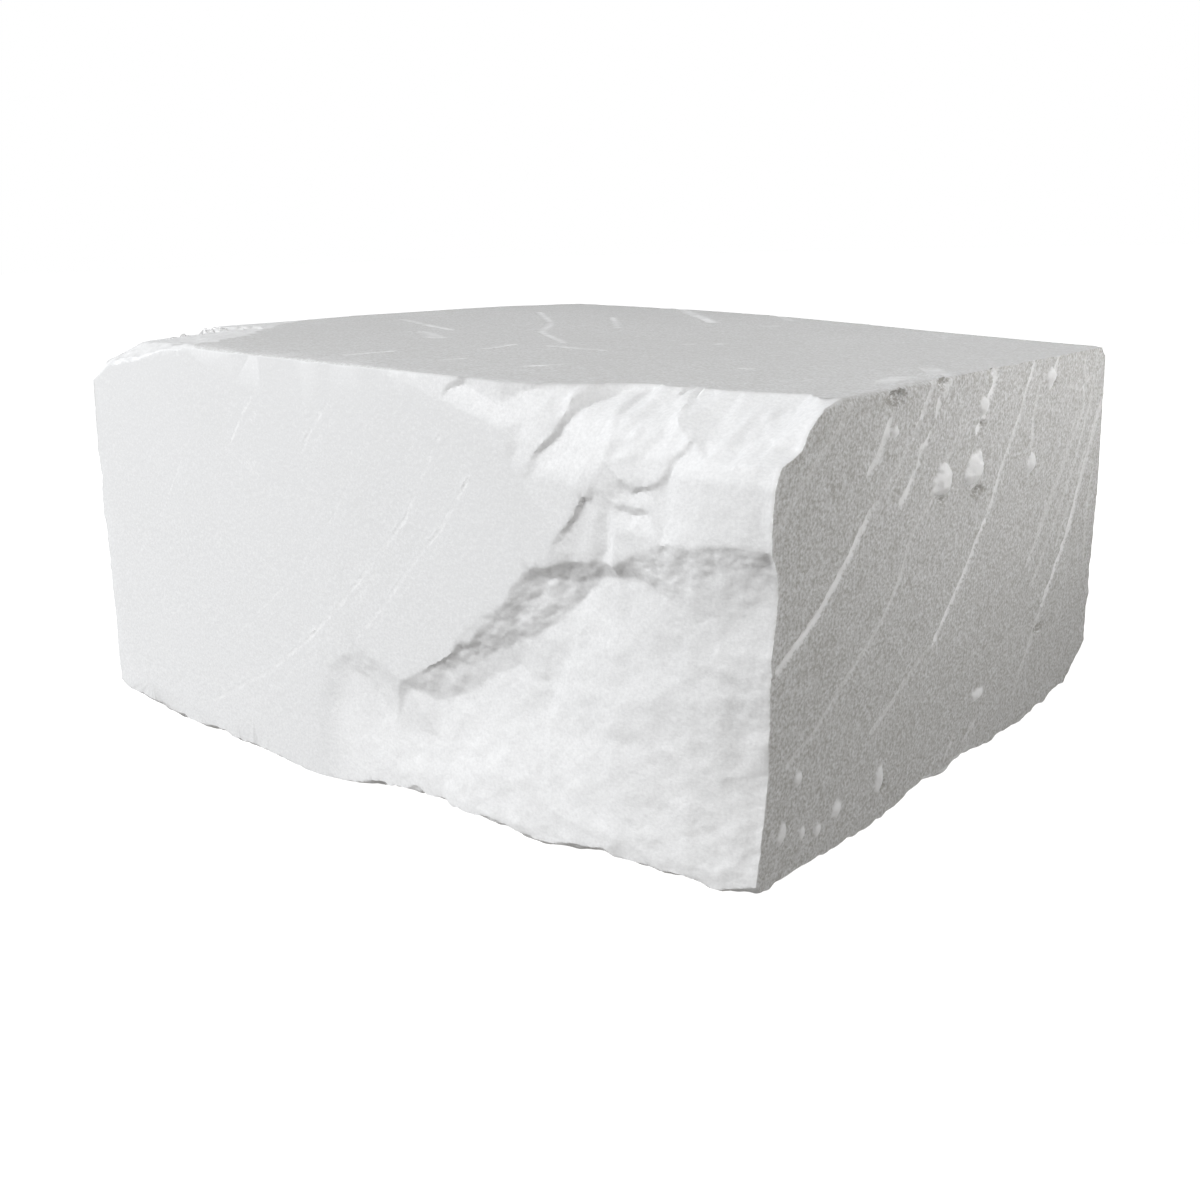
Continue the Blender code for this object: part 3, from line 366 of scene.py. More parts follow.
FRONT_MARKS = (
    (((8.1, 22.4), (6.8, 20.4), (5.0, 17.4), (2.2, 14.7), (-0.7, 11.9), (-4.4, 8.8), (-8.7, 6.0),
      (-15.3, 2.7)), 0.09, 0.03, 0.05, 0.8),
    (((10.2, 20.1), (7.9, 17.1), (5.7, 15.1), (3.9, 13.1), (0.6, 9.9)), 0.09, 0.03, 0.05, 0.8),
    (((-1.7, 23.5), (-3.4, 21.9), (-4.2, 20.7)), 0.12, 0.04, 0.06, 1.0),
    (((-9.3, 23.4), (-10.6, 22.0), (-11.5, 20.8)), 0.07, 0.02, 0.03, 0.8),
    (((-16.0, 21.0), (-20.0, 15.4), (-25.4, 10.2)), 0.05, 0.02, 0.01, 0.3),
    (((2.0, 21.6), (-1.4, 17.0), (-6.0, 12.4), (-12.0, 8.0)), 0.05, 0.02, 0.01, 0.3),
)
TOP_MARKS = (
    (((-3.9, -21.3), (-3.7, -17.8)), 0.23, 0.04, 0.05, 1.0),
    (((9.0, -18.7), (9.9, -16.3)), 0.28, 0.05, 0.07, 1.0),
    (((-0.1, -13.2), (-0.5, -10.1)), 0.23, 0.04, 0.05, 0.9),
    (((2.6, -19.0), (3.0, -17.7)), 0.21, 0.03, 0.04, 0.8),
    (((-18.4, 11.3), (-10.5, 4.3), (-6.4, -1.2), (1.1, -6.9)), 0.23, 0.04, 0.05, 0.9),
    (((-9.5, 10.5), (-3.8, 4.4)), 0.21, 0.04, 0.04, 0.8),
    (((-22.4, -0.4), (-17.4, -2.5), (-12.7, -4.3)), 0.28, 0.04, 0.05, 0.9),
    (((-12.4, -7.0), (-8.8, -9.2)), 0.50, 0.05, 0.06, 0.9),
    (((1.9, -9.0), (6.0, -8.6)), 0.32, 0.04, 0.06, 1.0),
    (((-11.7, 22.1), (-0.8, 12.1)), 0.41, 0.05, 0.06, 1.0),
    (((-2.6, 23.0), (2.9, 17.4)), 0.32, 0.04, 0.05, 0.8),
    (((5.0, 23.0), (9.5, 19.0)), 0.32, 0.04, 0.05, 0.8),
    (((4.1, 12.1), (4.7, 12.7)), 0.32, 0.04, 0.06, 1.0),
    (((18.7, -11.2), (19.0, -10.9)), 0.28, 0.04, 0.06, 1.0),
    (((7.4, -1.8), (7.6, -1.6)), 0.28, 0.03, 0.06, 1.0),
    (((8.9, -0.3), (9.1, -0.1)), 0.28, 0.03, 0.06, 1.0),
    (((27.5, -11.0), (27.3, -8.8)), 0.50, 0.05, 0.12, 1.0),
    (((26.4, -3.8), (28.4, -6.2)), 0.50, 0.06, 0.16, 1.0),
)
BACK_MARKS = (
    (((-18.0, 24.6), (-12.4, 16.4), (-8.8, 9.0), (-6.8, 2.0)), 0.11, 0.10, 0.06, 0.9),
    (((-2.0, 24.0), (3.0, 15.0), (6.0, 7.4)), 0.09, 0.08, 0.04, 0.7),
    (((8.0, 23.0), (12.8, 14.0), (15.4, 5.0)), 0.10, 0.09, 0.05, 0.8),
    (((20.0, 22.6), (22.6, 15.0)), 0.08, 0.07, 0.04, 0.7),
)
LEFT_MARKS = (
    (((-18.0, 24.0), (-13.0, 16.0), (-10.6, 8.0)), 0.10, 0.09, 0.05, 0.8),
    (((-6.0, 25.0), (-1.6, 15.0), (1.0, 4.0)), 0.11, 0.10, 0.06, 0.9),
    (((8.0, 24.6), (11.4, 16.0), (13.0, 9.0)), 0.09, 0.08, 0.04, 0.7),
)
# Which side has which marks: (marks, axis, end of it, how dotted they are, seed).
MARKED_SIDES = (
    (RIGHT_MARKS, 0, 1, 0.25, 201), (LEFT_MARKS, 0, 0, 0.5, 231), (FRONT_MARKS, 1, 0, 0.9, 261),
    (BACK_MARKS, 1, 1, 0.5, 291), (TOP_MARKS, 2, 1, 0.6, 321),
)
MARK_BREAKS, MARK_BREAK_LENGTH = 0.4, 2.6  # how much of a mark fades out in places
MARK_DOT_LENGTH, FAINTEST_DOT = 0.6, 0.15
MARK_WOBBLE, MARK_WOBBLE_LENGTH = 0.05, 0.7
MARK_REACH = 0.25  # its white is full this far off its line, and gone at twice as far
LIP_PLACE, LIP_LUMP = 1.7, 0.35  # how many half widths off the line the lip lies, and its crumbs
FAR, UNMARKED = 99.0, 9.0  # no mark lies near: in millimetres, and in half widths

CHIP_WHITE = 0.5
RUBBED = 0.055  # a chip no rougher than this is only a rubbed edge, and no whiter
CHIP_GRAIN_SIZE, CHIP_GRAIN = 0.5, 0.05

# A scrap of the top that still stands on the flake, which is chip number 2.
FLAKE = 2
SCRAP_MIDDLE, SCRAP_HALF_SIZE = (-28.2, -10.6), (2.6, 4.9)
SCRAP_HEIGHT, SCRAP_STEEP = 0.6, 3.0

# Edges rubbed round: (place, facing), on top of the chips.
RUBBED_EDGES = (
    ((29.05, 0.0, 24.85), (0.38, 0.0, 0.92)),
    ((29.1, 0.0, 24.8), (0.92, 0.0, 0.38)),
)
RUBBED_LUMP, RUBBED_ROUGH = 1.5, 0.05

# Grey dust on the top, back and left, and more grey on the right side: (share, axis, end of it). The
# front has none.
DUSTY_SIDES = ((0.6, 2, 1), (1.0, 0, 1), (0.6, 1, 1), (0.6, 0, 0))
HOLLOW_SHADE, HOLLOW_SHADE_DEPTH = 0.8, 0.2  # painted shade in the hollows: how much darker they are painted, at this depth
CRUMB_WHITE_AND_HIGHLIGHT_HEIGHT = 0.1  # a crumb is painted white where it stands out this far: fresh chalk, and a painted highlight

# The dusty colour also paints shade in the hollows; the fresh colour also paints light low on the front
# and break, and highlights on the crumbs.
CHALK_CLEAN = (0.80, 0.803, 0.808, 1.0)
CHALK_DUSTY_AND_SHADED = (0.455, 0.446, 0.424, 1.0)
CHALK_FRESH_AND_PAINTED_LIGHT = (0.945, 0.947, 0.952, 1.0)
CLOUDS, PORES, POWDER, SPECKLES = 90.0, 1500.0, 3600.0, 5500.0  # noise scales, per metre
GRAIN_HEIGHT = 0.0001  # metres

CAMERA_PLACE = (64.891, -75.808, 32.266)
CAMERA_TURN, CAMERA_DIP, CAMERA_ROLL = 41.4346, 14.2480, -1.5085  # degrees
LENS, SENSOR = 42.0, 36.0
NEAREST_SEEN = 0.001  # metres

# Soft boxes: name, place, what they look at, (width, height), watts, spread in degrees, colour.
LAMPS = (
    ("key", (-178, -308, 217), (0, 0, 12), (260, 200), 1.52, 180, (0.978, 0.988, 1.0)),
    ("side", (300, -60, 160), (0, 0, 12), (120, 120), 0.245, 180, (1.0, 0.99, 0.975)),
    ("fill", (90, 40, 40), (29, 22, 31), (70, 8), 0.0036, 50, (1.0, 0.995, 0.985)),
)
# The room's own light, from below to above: (share of the way up, colour).
ROOM_LIGHT = ((0.42, (0.245, 0.239, 0.228, 1.0)), (0.58, (0.275, 0.275, 0.275, 1.0)))
WHITE = (1.0, 1.0, 1.0, 1.0)
FLOOR_REACH, FLOOR_DROP = 3.0, 0.00005  # metres
FLOOR_COLOUR, FLOOR_GLOW = (0.9, 0.9, 0.9, 1.0), 0.85

# Numbers that scramble the cell of a lump and its seed into a random value.
CELL_KEYS = np.array((73856093, 19349663, 83492791))
SEED_KEY, FIRST_SCRAMBLE, SECOND_SCRAMBLE = 2654435, 1274126177, 69069
KEY_BITS, VALUE_BITS = 0x7FFFFFFF, 0xFFFF


def lumps(points, size, seed):
    """A smooth random value from about -1 to 1 at each point, in lumps of the given size."""
    place = points / size
    cell = np.floor(place).astype(np.int64)
    ease = place - cell
    ease = ease * ease * (3 - 2 * ease)
    total = np.zeros(len(points))
    for corner in product((0, 1), repeat=3):
        key = (cell + corner) @ CELL_KEYS + seed * SEED_KEY
        key = (key ^ (key >> 13)) * FIRST_SCRAMBLE & KEY_BITS
        key = (key ^ (key >> 15)) * SECOND_SCRAMBLE & KEY_BITS
        share = np.prod(np.where(corner, ease, 1 - ease), axis=1)
        total += share * (((key >> 8) & VALUE_BITS) / (VALUE_BITS / 2) - 1)
    return total


def lattice():
    """Points over a unit cube's six sides, and the squares between them."""
    counts = np.array(CELLS)
    places, squares = [], []
    for axis in range(3):
        a, b = (axis + 1) % 3, (axis + 2) % 3
        for end in (0, counts[axis]):
            i, j = np.meshgrid(np.arange(counts[a] + 1), np.arange(counts[b] + 1), indexing="ij")
            place = np.zeros((i.size, 3), np.int64)
            place[:, axis], place[:, a], place[:, b] = end, i.ravel(), j.ravel()
            grid = np.arange(i.size).reshape(i.shape) + sum(len(p) for p in places)
            ring = [grid[:-1, :-1], grid[1:, :-1], grid[1:, 1:], grid[:-1, 1:]]
            ring = ring if end else ring[::-1]
            squares.append(np.stack([corner.ravel() for corner in ring], axis=1))
            places.append(place)
    places = np.concatenate(places)
    code = (places[:, 0] * CODE_STEP + places[:, 1]) * CODE_STEP + places[:, 2]
    _, first, same = np.unique(code, return_index=True, return_inverse=True)
    cube = places[first] / counts
    cube[:, 0] = np.interp(cube[:, 0], *zip(*LENGTH_SPREAD))
    return cube, same.reshape(-1)[np.concatenate(squares)]


def on_side(cube, axis, end):
    """1 on that side of the block, fading out just round its edges."""
    return np.clip(1 - abs(cube[:, axis] - end) / EDGE_FADE, 0, 1)


def sawn_block(cube):
    """Places the points of the unit cube between the eight corners of the block."""
    u, v, w = cube.T[:, :, None]
    low = (1 - u) * (1 - v) * FRONT_LEFT_BASE + u * (1 - v) * FRONT_RIGHT_BASE
    low = low + u * v * BACK_RIGHT_BASE + (1 - u) * v * BACK_LEFT_BASE
    high = (1 - u) * (1 - v) * FRONT_LEFT_TOP + u * (1 - v) * FRONT_RIGHT_TOP
    high = high + u * v * BACK_RIGHT_TOP + (1 - u) * v * BACK_LEFT_TOP
    return (1 - w) * low + w * high


def wander(points, cube):
    """The saw cuts aren't quite flat: the back and left swell out, and the top rises to the back."""
    u, v, w = cube.T
    x, y = points[:, 0].copy(), points[:, 1].copy()
    along_back = (x - BACK_BULGE_MIDDLE) / BACK_BULGE_SPREAD
    points[:, 1] += BACK_BULGE * v**2 * np.exp(-(along_back**2))
    along_left = (y - LEFT_BULGE_MIDDLE) / LEFT_BULGE_SPREAD
    points[:, 0] -= LEFT_BULGE * (1 - u) ** 2 * np.exp(-(along_left**2))
    across = (x - TOP_CROWN_MIDDLE[0]) / TOP_CROWN_SPREAD[0]
    back = (y - TOP_CROWN_MIDDLE[1]) / TOP_CROWN_SPREAD[1]
    points[:, 2] += TOP_CROWN * w**3 * np.exp(-(across**2) - back**2)
    points[:, 2] += SAW_WANDER * w**3 * lumps(points, SAW_WANDER_LENGTH, 3)
    points[:, 0] += SAW_WANDER * (2 * u - 1) ** 3 * lumps(points, SAW_WANDER_LENGTH, 4)


def break_surface():
    """The break as a triangulated sheet over (x, z), creased along its ledges."""
    corners, edges = [], []
    for line in CREASES:
        first = len(corners)
        corners.extend(line)
        edges.extend((first + n, first + n + 1) for n in range(len(line) - 1))
    for group in LOOSE_POINTS + (BREAK_FRAME,):
        corners.extend(group)
    flat = [Vector((x, z)) for x, z, _ in corners]
    placed, _, faces, sources, _, _ = geometry.delaunay_2d_cdt(flat, edges, [], 0, 1e-4)
    sheet = [(p.x, p.y, corners[ids[0]][2] if ids else 1.0) for p, ids in zip(placed, sources)]
    return BVHTree.FromPolygons(sheet, faces)


def sheet_depth(x, z):
    """Reads the depth of the break at each x and z."""
    sheet = break_surface()
    down = Vector((0, 0, -1))
    depth = np.zeros(len(x))
    for n in np.flatnonzero(x > BREAK_START):
        hit = sheet.ray_cast(Vector((x[n], z[n], PROBE_HEIGHT)), down)[0]
        if hit is not None:
            depth[n] = hit.z
    return depth


def ledge_position(x, z):
    """0 at the lip of the main ledge and 1 at its foot, at each x and z."""
    feet = LOWER_FOOT + tuple(point for point in LEDGE_FOOT if point[0] > LOWER_FOOT[0][0])
    lip = np.interp(x, *np.array(sorted(LEDGE_LIP))[:, :2].T)
    foot = np.interp(x, *np.array(sorted(feet))[:, :2].T)
    return (lip - z) / np.maximum(lip - foot, LEDGE_THINNEST)


def ledge_layers(points, along, on_ledge):
    """The thin layers of the ledge: each steps out a little under the one above it."""
    layer = along * LAYERS
    for seed, (size, share) in enumerate(LAYER_WAVES):
        layer = layer + share * lumps(points, size, 45 + seed)
    showing = np.clip(0.4 + 1.2 * lumps(points, LAYER_PATCH, 47), 0, 1)
    return on_ledge * LAYER_RISE * (0.5 - layer % 1) * showing


def break_depth(points):
    """How far behind the front saw cut the break lies, and how white each place is: whiter where freshly
    broken, and painted lighter low down as painted light.
    """
    x, z = points[:, 0].copy(), points[:, 2].copy()
    for seed, (size, distance) in enumerate(WARP):
        x += distance * lumps(points, size, 60 + seed)
        z += distance * lumps(points, size, 70 + seed)
    depth = sheet_depth(x, z)
    fresh_and_painted_light = np.clip(depth / FRESH_DEPTH, 0, 1)
    rough = np.clip(depth / ROUGH_DEPTH, 0, 1)
    along = ledge_position(x, z)
    calm = np.interp(along, SMOOTH_END, (SMOOTH_SHARE, 1.0))
    for seed, (size, height) in enumerate(BREAK_GRAIN):
        depth += rough * calm * height * lumps(points, size, 20 + seed)
    below_lip, above_foot = LEDGE_FADE * along, LEDGE_FADE * (LEDGE_END - along)
    on_ledge = fresh_and_painted_light * np.clip(below_lip, 0, 1) * np.clip(above_foot, 0, 1)
    rough = rough * calm + on_ledge * (LEDGE_ROUGH - 1)
    for seed, (size, height) in enumerate(BROKEN_GRAIN):
        depth += rough * height * lumps(points, size, 40 + seed)
    depth += ledge_layers(points, along, on_ledge)
    # The break is painted lighter low down: painted light.
    return np.maximum(depth, 0), fresh_and_painted_light * np.interp(z, *zip(*BREAK_WHITE_AND_LIGHT))


def break_front(points, cube):
    """Moves the front back to the break, closes up the sides behind it, and tells how white it is."""
    v = cube[:, 1]
    reach = np.clip(1 - v * (BACK_LEFT_BASE[1] - FRONT_LEFT_BASE[1]) / CUT_REACH, 0, 1)
    depth, fresh_and_painted_light = break_depth(points)
    points[:, 1] += depth * reach**CUT_FALLOFF
    return fresh_and_painted_light * (v < 0.001)


def tear_side(points, cube):
    """Sinks the hollows of the right side and raises the crumbs stuck to it, and tells how far."""
    shift = np.zeros(len(points))
    ragged = lumps(points, HOLLOW_LUMP, 7) + lumps(points, HOLLOW_LUMP / 3, 8)
    for outward, spots in ((-1, HOLLOWS), (1, CRUMBS)):
        for y, z, half_length, half_height, height in spots:
            away = np.hypot((points[:, 1] - y) / half_length, (points[:, 2] - z) / half_height)
            away *= 1 + HOLLOW_RAGGED * ragged
            shift += outward * height * np.clip(HOLLOW_STEEP * (1 - away), 0, 1)
    shift *= on_side(cube, 0, 1)
    points[:, 0] += shift
    return shift


def across_line(flat, line):
    """How far each place of a side lies from a line of points, negative on one side of it."""
    best = np.full(len(flat), FAR)
    for start, end in zip(line[:-1], line[1:]):
        start, run = np.array(start), np.subtract(end, start)
        part = np.clip((flat - start) @ run / (run @ run), 0, 1)
        gap = flat - start - part[:, None] * run
        size = np.linalg.norm(gap, axis=1)
        signed = np.sign(gap @ np.array((run[1], -run[0]))) * size
        best = np.where(size < abs(best), signed, best)
    return best


def fading(points, dotted, seed):
    """How much of a mark shows at each point: it fades out in places and breaks up into dots."""
    broken = np.clip(0.5 + 1.4 * lumps(points, MARK_BREAK_LENGTH, seed), 0, 1)
    dots = 1 - dotted * (0.35 - lumps(points, MARK_DOT_LENGTH, seed + 12))
    return (1 - MARK_BREAKS * broken) * np.clip(dots, FAINTEST_DOT, 1)


def cut_marks(points, cube, marks, axis, end, dotted, seed):
    """Cuts the marks into one side, each with a lip of crumbs along one edge.

    Gives how far across its nearest mark a point lies, in half widths, and how white that mark is.
    """
    side = on_side(cube, axis, end)
    near = np.flatnonzero(side > 0)
    there = points[near]
    flat = there[:, [n for n in range(3) if n != axis]]
    across_mark, mark_white = np.full(len(points), UNMARKED), np.zeros(len(points))
    nearest, shift = np.full(len(near), FAR), np.zeros(len(near))
    crumbly = np.clip(0.6 + 0.8 * lumps(there, LIP_LUMP, seed), 0, 1.4)
    for number, (line, width, depth, lip, white) in enumerate(marks):
        gap = across_line(flat, line)
        gap += MARK_WOBBLE * lumps(there, MARK_WOBBLE_LENGTH, seed + number)
        faded = fading(there, dotted, seed + number)
        groove = np.exp(-((gap / width) ** 2))
        crumbs = np.exp(-(((gap - LIP_PLACE * width) / width) ** 2)) * crumbly
        shift += faded * (lip * crumbs - depth * groove)
        closer = abs(gap) < nearest
        nearest = np.where(closer, abs(gap), nearest)
        across_mark[near] = np.where(closer, gap / width, across_mark[near])
        reach = np.clip(2 - abs(gap) / max(width, MARK_REACH), 0, 1)
        mark_white[near] = np.where(closer, white * faded * reach, mark_white[near])
    outward = 1 if end else -1
    points[near, axis] += outward * side[near] * shift
    return across_mark, mark_white


def cut_all_marks(points, cube):
    """Cuts the marks of every side. A place near two marks takes the colour of the whiter one."""
    across_mark, mark_white = np.full(len(points), UNMARKED), np.zeros(len(points))
    for marks, axis, end, dotted, seed in MARKED_SIDES:
        across, white = cut_marks(points, cube, marks, axis, end, dotted, seed)
        across_mark = np.where(white > mark_white, across, across_mark)
        mark_white = np.maximum(white, mark_white)
    return across_mark, mark_white


def shave(points, excess, facing):
    """Pushes every point that stands out past a broken face back onto it, and tells which."""
    points -= np.maximum(excess, 0)[:, None] * facing
    return excess > 0


def scrap(points):
    """How much less deep the flake is at each point, where the scrap still stands."""
    away = np.linalg.norm((points[:, :2] - SCRAP_MIDDLE) / SCRAP_HALF_SIZE, axis=1)
    ragged = lumps(points, HOLLOW_LUMP, 160) + lumps(points, HOLLOW_LUMP / 3, 161)
    away *= 1 + HOLLOW_RAGGED * ragged
    return SCRAP_HEIGHT * np.clip(SCRAP_STEEP * (1 - away), 0, 1)


def chip(points):
    """Breaks the chips off, and tells how white each leaves the chalk."""
    fresh_and_painted_light = np.zeros(len(points))
    for number, (place, facing, rough) in enumerate(CHIPS):
        facing = np.array(facing) / np.linalg.norm(facing)
        bumps = lumps(points, CHIP_LUMP, 50 + number)
        bumps += 0.5 * lumps(points, CHIP_LUMP / 2, 80 + number)
        bumps += 0.3 * lumps(points, CHIP_LUMP / 4, 110 + number)
        excess = (points - place) @ facing - rough * bumps
        if rough > RUBBED:
            fresh_and_painted_light[excess > 0] = CHIP_WHITE
            excess -= CHIP_GRAIN * lumps(points, CHIP_GRAIN_SIZE, 150 + number)
        if number == FLAKE:
            excess -= scrap(points)
        shave(points, excess, facing)
    return fresh_and_painted_light


def rub_edges(points):
    """Rubs the edge between the top and the right side round."""
    for number, (place, facing) in enumerate(RUBBED_EDGES):
        facing = np.array(facing) / np.linalg.norm(facing)
        bumps = RUBBED_ROUGH * lumps(points, RUBBED_LUMP, 140 + number)
        shave(points, (points - place) @ facing - bumps, facing)


def wear_base(points):
    """Wears the bottom edges away, and tells where."""
    worn_off = np.zeros(len(points), bool)
    sides = (
        (FRONT_BASE_WEAR, 0, FRONT_LEFT_BASE, (0.0, -1.0), 31),
        (RIGHT_BASE_WEAR, 1, FRONT_RIGHT_BASE, (1.0, 0.0), 32),
        (BACK_BASE_WEAR, 0, BACK_LEFT_BASE, (0.09, 1.0), 33),
        (LEFT_BASE_WEAR, 1, FRONT_LEFT_BASE, (-1.0, 0.04), 34),
    )
    for wear, along, corner, outward, seed in sides:
        facing = np.array((*outward, -WEAR_LEAN))
        facing /= np.linalg.norm(facing)
        uneven = np.ones(len(points))
        for size, share in WEAR_WAVES:
            uneven += share * lumps(points, size, seed)
        height = np.interp(points[:, along], *zip(*wear)) * uneven
        size, rise = WEAR_GRAIN
        height += rise * lumps(points, size, seed + 5) * (height > LEAST_WEAR)
        worn = np.where(height > LEAST_WEAR, -height * abs(facing[2]), UNWORN)
        worn_off |= shave(points, (points - corner) @ facing - worn, facing)
    return worn_off


def dust_and_shade_on(cube, raised):
    """How much grey dust lies on each point on the sawn sides, with painted shade in the hollows, where
    it is most.
    """
    dust_and_shade = np.zeros(len(cube))
    for share, axis, end in DUSTY_SIDES:
        dust_and_shade = np.maximum(dust_and_shade, share * on_side(cube, axis, end))
    # Painted shade: the hollows of the right side are painted darker, as if in shadow.
    return dust_and_shade + HOLLOW_SHADE * np.clip(-raised / HOLLOW_SHADE_DEPTH, 0, 1)


def block_shape():
    """The points of the whole block in millimetres, its squares, and what each point's colour needs."""
    cube, squares = lattice()
    points = sawn_block(cube)
    wander(points, cube)
    fresh_and_painted_light = break_front(points, cube)
    # Painted light: the sawn front is painted whiter towards its bottom.
    front_painted_light = on_side(cube, 1, 0) * np.interp(points[:, 2], *zip(*FRONT_PAINTED_LIGHT))
    fresh_and_painted_light = np.maximum(fresh_and_painted_light, front_painted_light)
    raised = tear_side(points, cube)
    # The crumbs are painted white where they stand out: fresh chalk, and a painted highlight.
    fresh_and_painted_light = np.maximum(fresh_and_painted_light, np.clip(raised / CRUMB_WHITE_AND_HIGHLIGHT_HEIGHT, 0, 1))
    across_mark, mark_white = cut_all_marks(points, cube)
    fresh_and_painted_light = np.maximum(fresh_and_painted_light, chip(points))
    rub_edges(points)
    fresh_and_painted_light = np.maximum(fresh_and_painted_light, wear_base(points))
    under = cube[:, 2] < 1e-6
    points[under, 2] = np.maximum(points[under, 2], 0)
    middle = (points.min(axis=0) + points.max(axis=0)) / 2
    points -= (middle[0], middle[1], points[:, 2].min())
    low, high = (np.array(corner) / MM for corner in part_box(NODE))
    looks = {"fresh_and_painted_light": fresh_and_painted_light, "dust_and_shade": dust_and_shade_on(cube, raised)}
    looks.update(across_mark=across_mark, mark_white=mark_white)
    return np.clip(points, low, high), squares, looks


def needs_detail(points, squares, looks):
    """True at the scores, wherever the colour changes within a square, and at the broken corner."""
    keep = looks["mark_white"] > 0
    for name in ("fresh_and_painted_light", "dust_and_shade"):
        changing = squares[np.ptp(looks[name][squares], axis=1) > COLOUR_STEP]
        keep[changing.ravel()] = True
    left, front, top = FINE_CORNER
    return keep | ((points[:, 0] < left) & (points[:, 1] < front) & (points[:, 2] > top))


def square_mesh(points, squares, looks):
    """A mesh of the squares, in metres, that carries the looks as attributes."""
    mesh = bpy.data.meshes.new("squares")
    mesh.vertices.add(len(points))
    mesh.vertices.foreach_set("co", (points * MM).astype(np.float32).ravel())
    mesh.loops.add(squares.size)
    mesh.loops.foreach_set("vertex_index", squares.astype(np.int32).ravel())
    mesh.polygons.add(len(squares))
    mesh.polygons.foreach_set("loop_start", np.arange(0, squares.size, 4, dtype=np.int32))
    mesh.update(calc_edges=True)
    for name, values in looks.items():
        attribute = mesh.attributes.new(name, "FLOAT", "POINT")
        attribute.data.foreach_set("value", values.astype(np.float32))
    mesh.validate()
    return mesh


def thin_out(block, kept_fine):
    """Splits the block's squares, and thins them out except at the points that are kept fine."""
    group = block.vertex_groups.new(name="kept fine")
    group.add(np.flatnonzero(kept_fine).tolist(), 1.0, "REPLACE")
    split = block.modifiers.new("Split squares", "TRIANGULATE")
    split.quad_method = "SHORTEST_DIAGONAL"
    thin = block.modifiers.new("Thin out flats", "DECIMATE")
    thin.ratio = TRIANGLES_KEPT / (2 * len(block.data.polygons))
    thin.vertex_group, thin.invert_vertex_group = group.name, True
    depsgraph = bpy.context.evaluated_depsgraph_get()
    thinned = bpy.data.meshes.new_from_object(block.evaluated_get(depsgraph), depsgraph=depsgraph)
    block.modifiers.clear()
    squares = block.data
    block.data = thinned
    bpy.data.meshes.remove(squares)


def block_piece(material):
    """The whole surface of the block as one piece."""
    points, squares, looks = block_shape()
    mesh = square_mesh(points, squares, looks)
    mesh.materials.append(material)
    block = bpy.data.objects.new("chalk_surface", mesh)
    bpy.context.scene.collection.objects.link(block)
    thin_out(block, needs_detail(points, squares, looks))
    block.data.name = "chalk_surface"
    block.data.shade_smooth()
    block.data.set_sharp_from_angle(angle=math.radians(SHARP_ANGLE))
    return block


class Wire:
    """A number socket of a material that can be used in sums. Each sum adds its Math node."""

    def __init__(self, finish, socket):
        self.finish, self.socket = finish, socket

    def _sum(self, operation, first, second):
        return self.finish.add("ShaderNodeMath", {"operation": operation}, {0: first, 1: second})

    def __add__(self, other):
        return self._sum("ADD", self, other)

    __radd__ = __add__

    def __mul__(self, other):
        return self._sum("MULTIPLY", self, other)

    __rmul__ = __mul__

    def __sub__(self, other):
        return self._sum("SUBTRACT", self, other)

    def __rsub__(self, other):
        return self._sum("SUBTRACT", other, self)

    def __abs__(self):
        return self.finish.add("ShaderNodeMath", {"operation": "ABSOLUTE"}, {0: self})

    def clipped(self):
        return self.finish.add("ShaderNodeClamp", {}, {"Value": self})


class Finish:
    """The nodes of a material, or of the room's light, and the shader that they feed."""

    def __init__(self, owner, shader):
        owner.use_nodes = True
        self.nodes, self.links = owner.node_tree.nodes, owner.node_tree.links
        self.shader = self.nodes[shader]

    def add(self, kind, settings, inputs, output=0):
        """Adds a node, its settings first, then a value or a wire for each named socket."""
        node = self.nodes.new(kind)
        for name, value in settings.items():
            if name == "stops":
                self.set_stops(node.color_ramp.elements, value)
            else:
                setattr(node, name, value)
        self.fill(node, inputs)
        return Wire(self, node.outputs[output])

    def set_stops(self, elements, stops):
        for element, (place, colour) in zip(elements, stops):
            element.position = place
            element.color = colour

    def fill(self, node, inputs):
        """Gives each named socket of a node its value or its wire."""
        for name, value in inputs.items():
            if isinstance(value, Wire):
                self.links.new(value.socket, node.inputs[name])
            else:
                node.inputs[name].default_value = value

    def mixed(self, share, first, second):
        """A colour between two colours."""
        return self.add("ShaderNodeMix", {"data_type": "RGBA"}, {0: share, 6: first, 7: second}, output=2)

    def attribute(self, name):
        return self.add("ShaderNodeAttribute", {"attribute_name": name}, {}, output="Fac")

    def noise(self, place, scale, detail, roughness=0.5):
        """Noise that is centred on 0."""
        inputs = {"Vector": place, "Scale": scale, "Detail": detail, "Roughness": roughness}
        return self.add("ShaderNodeTexNoise", {}, inputs) - 0.5


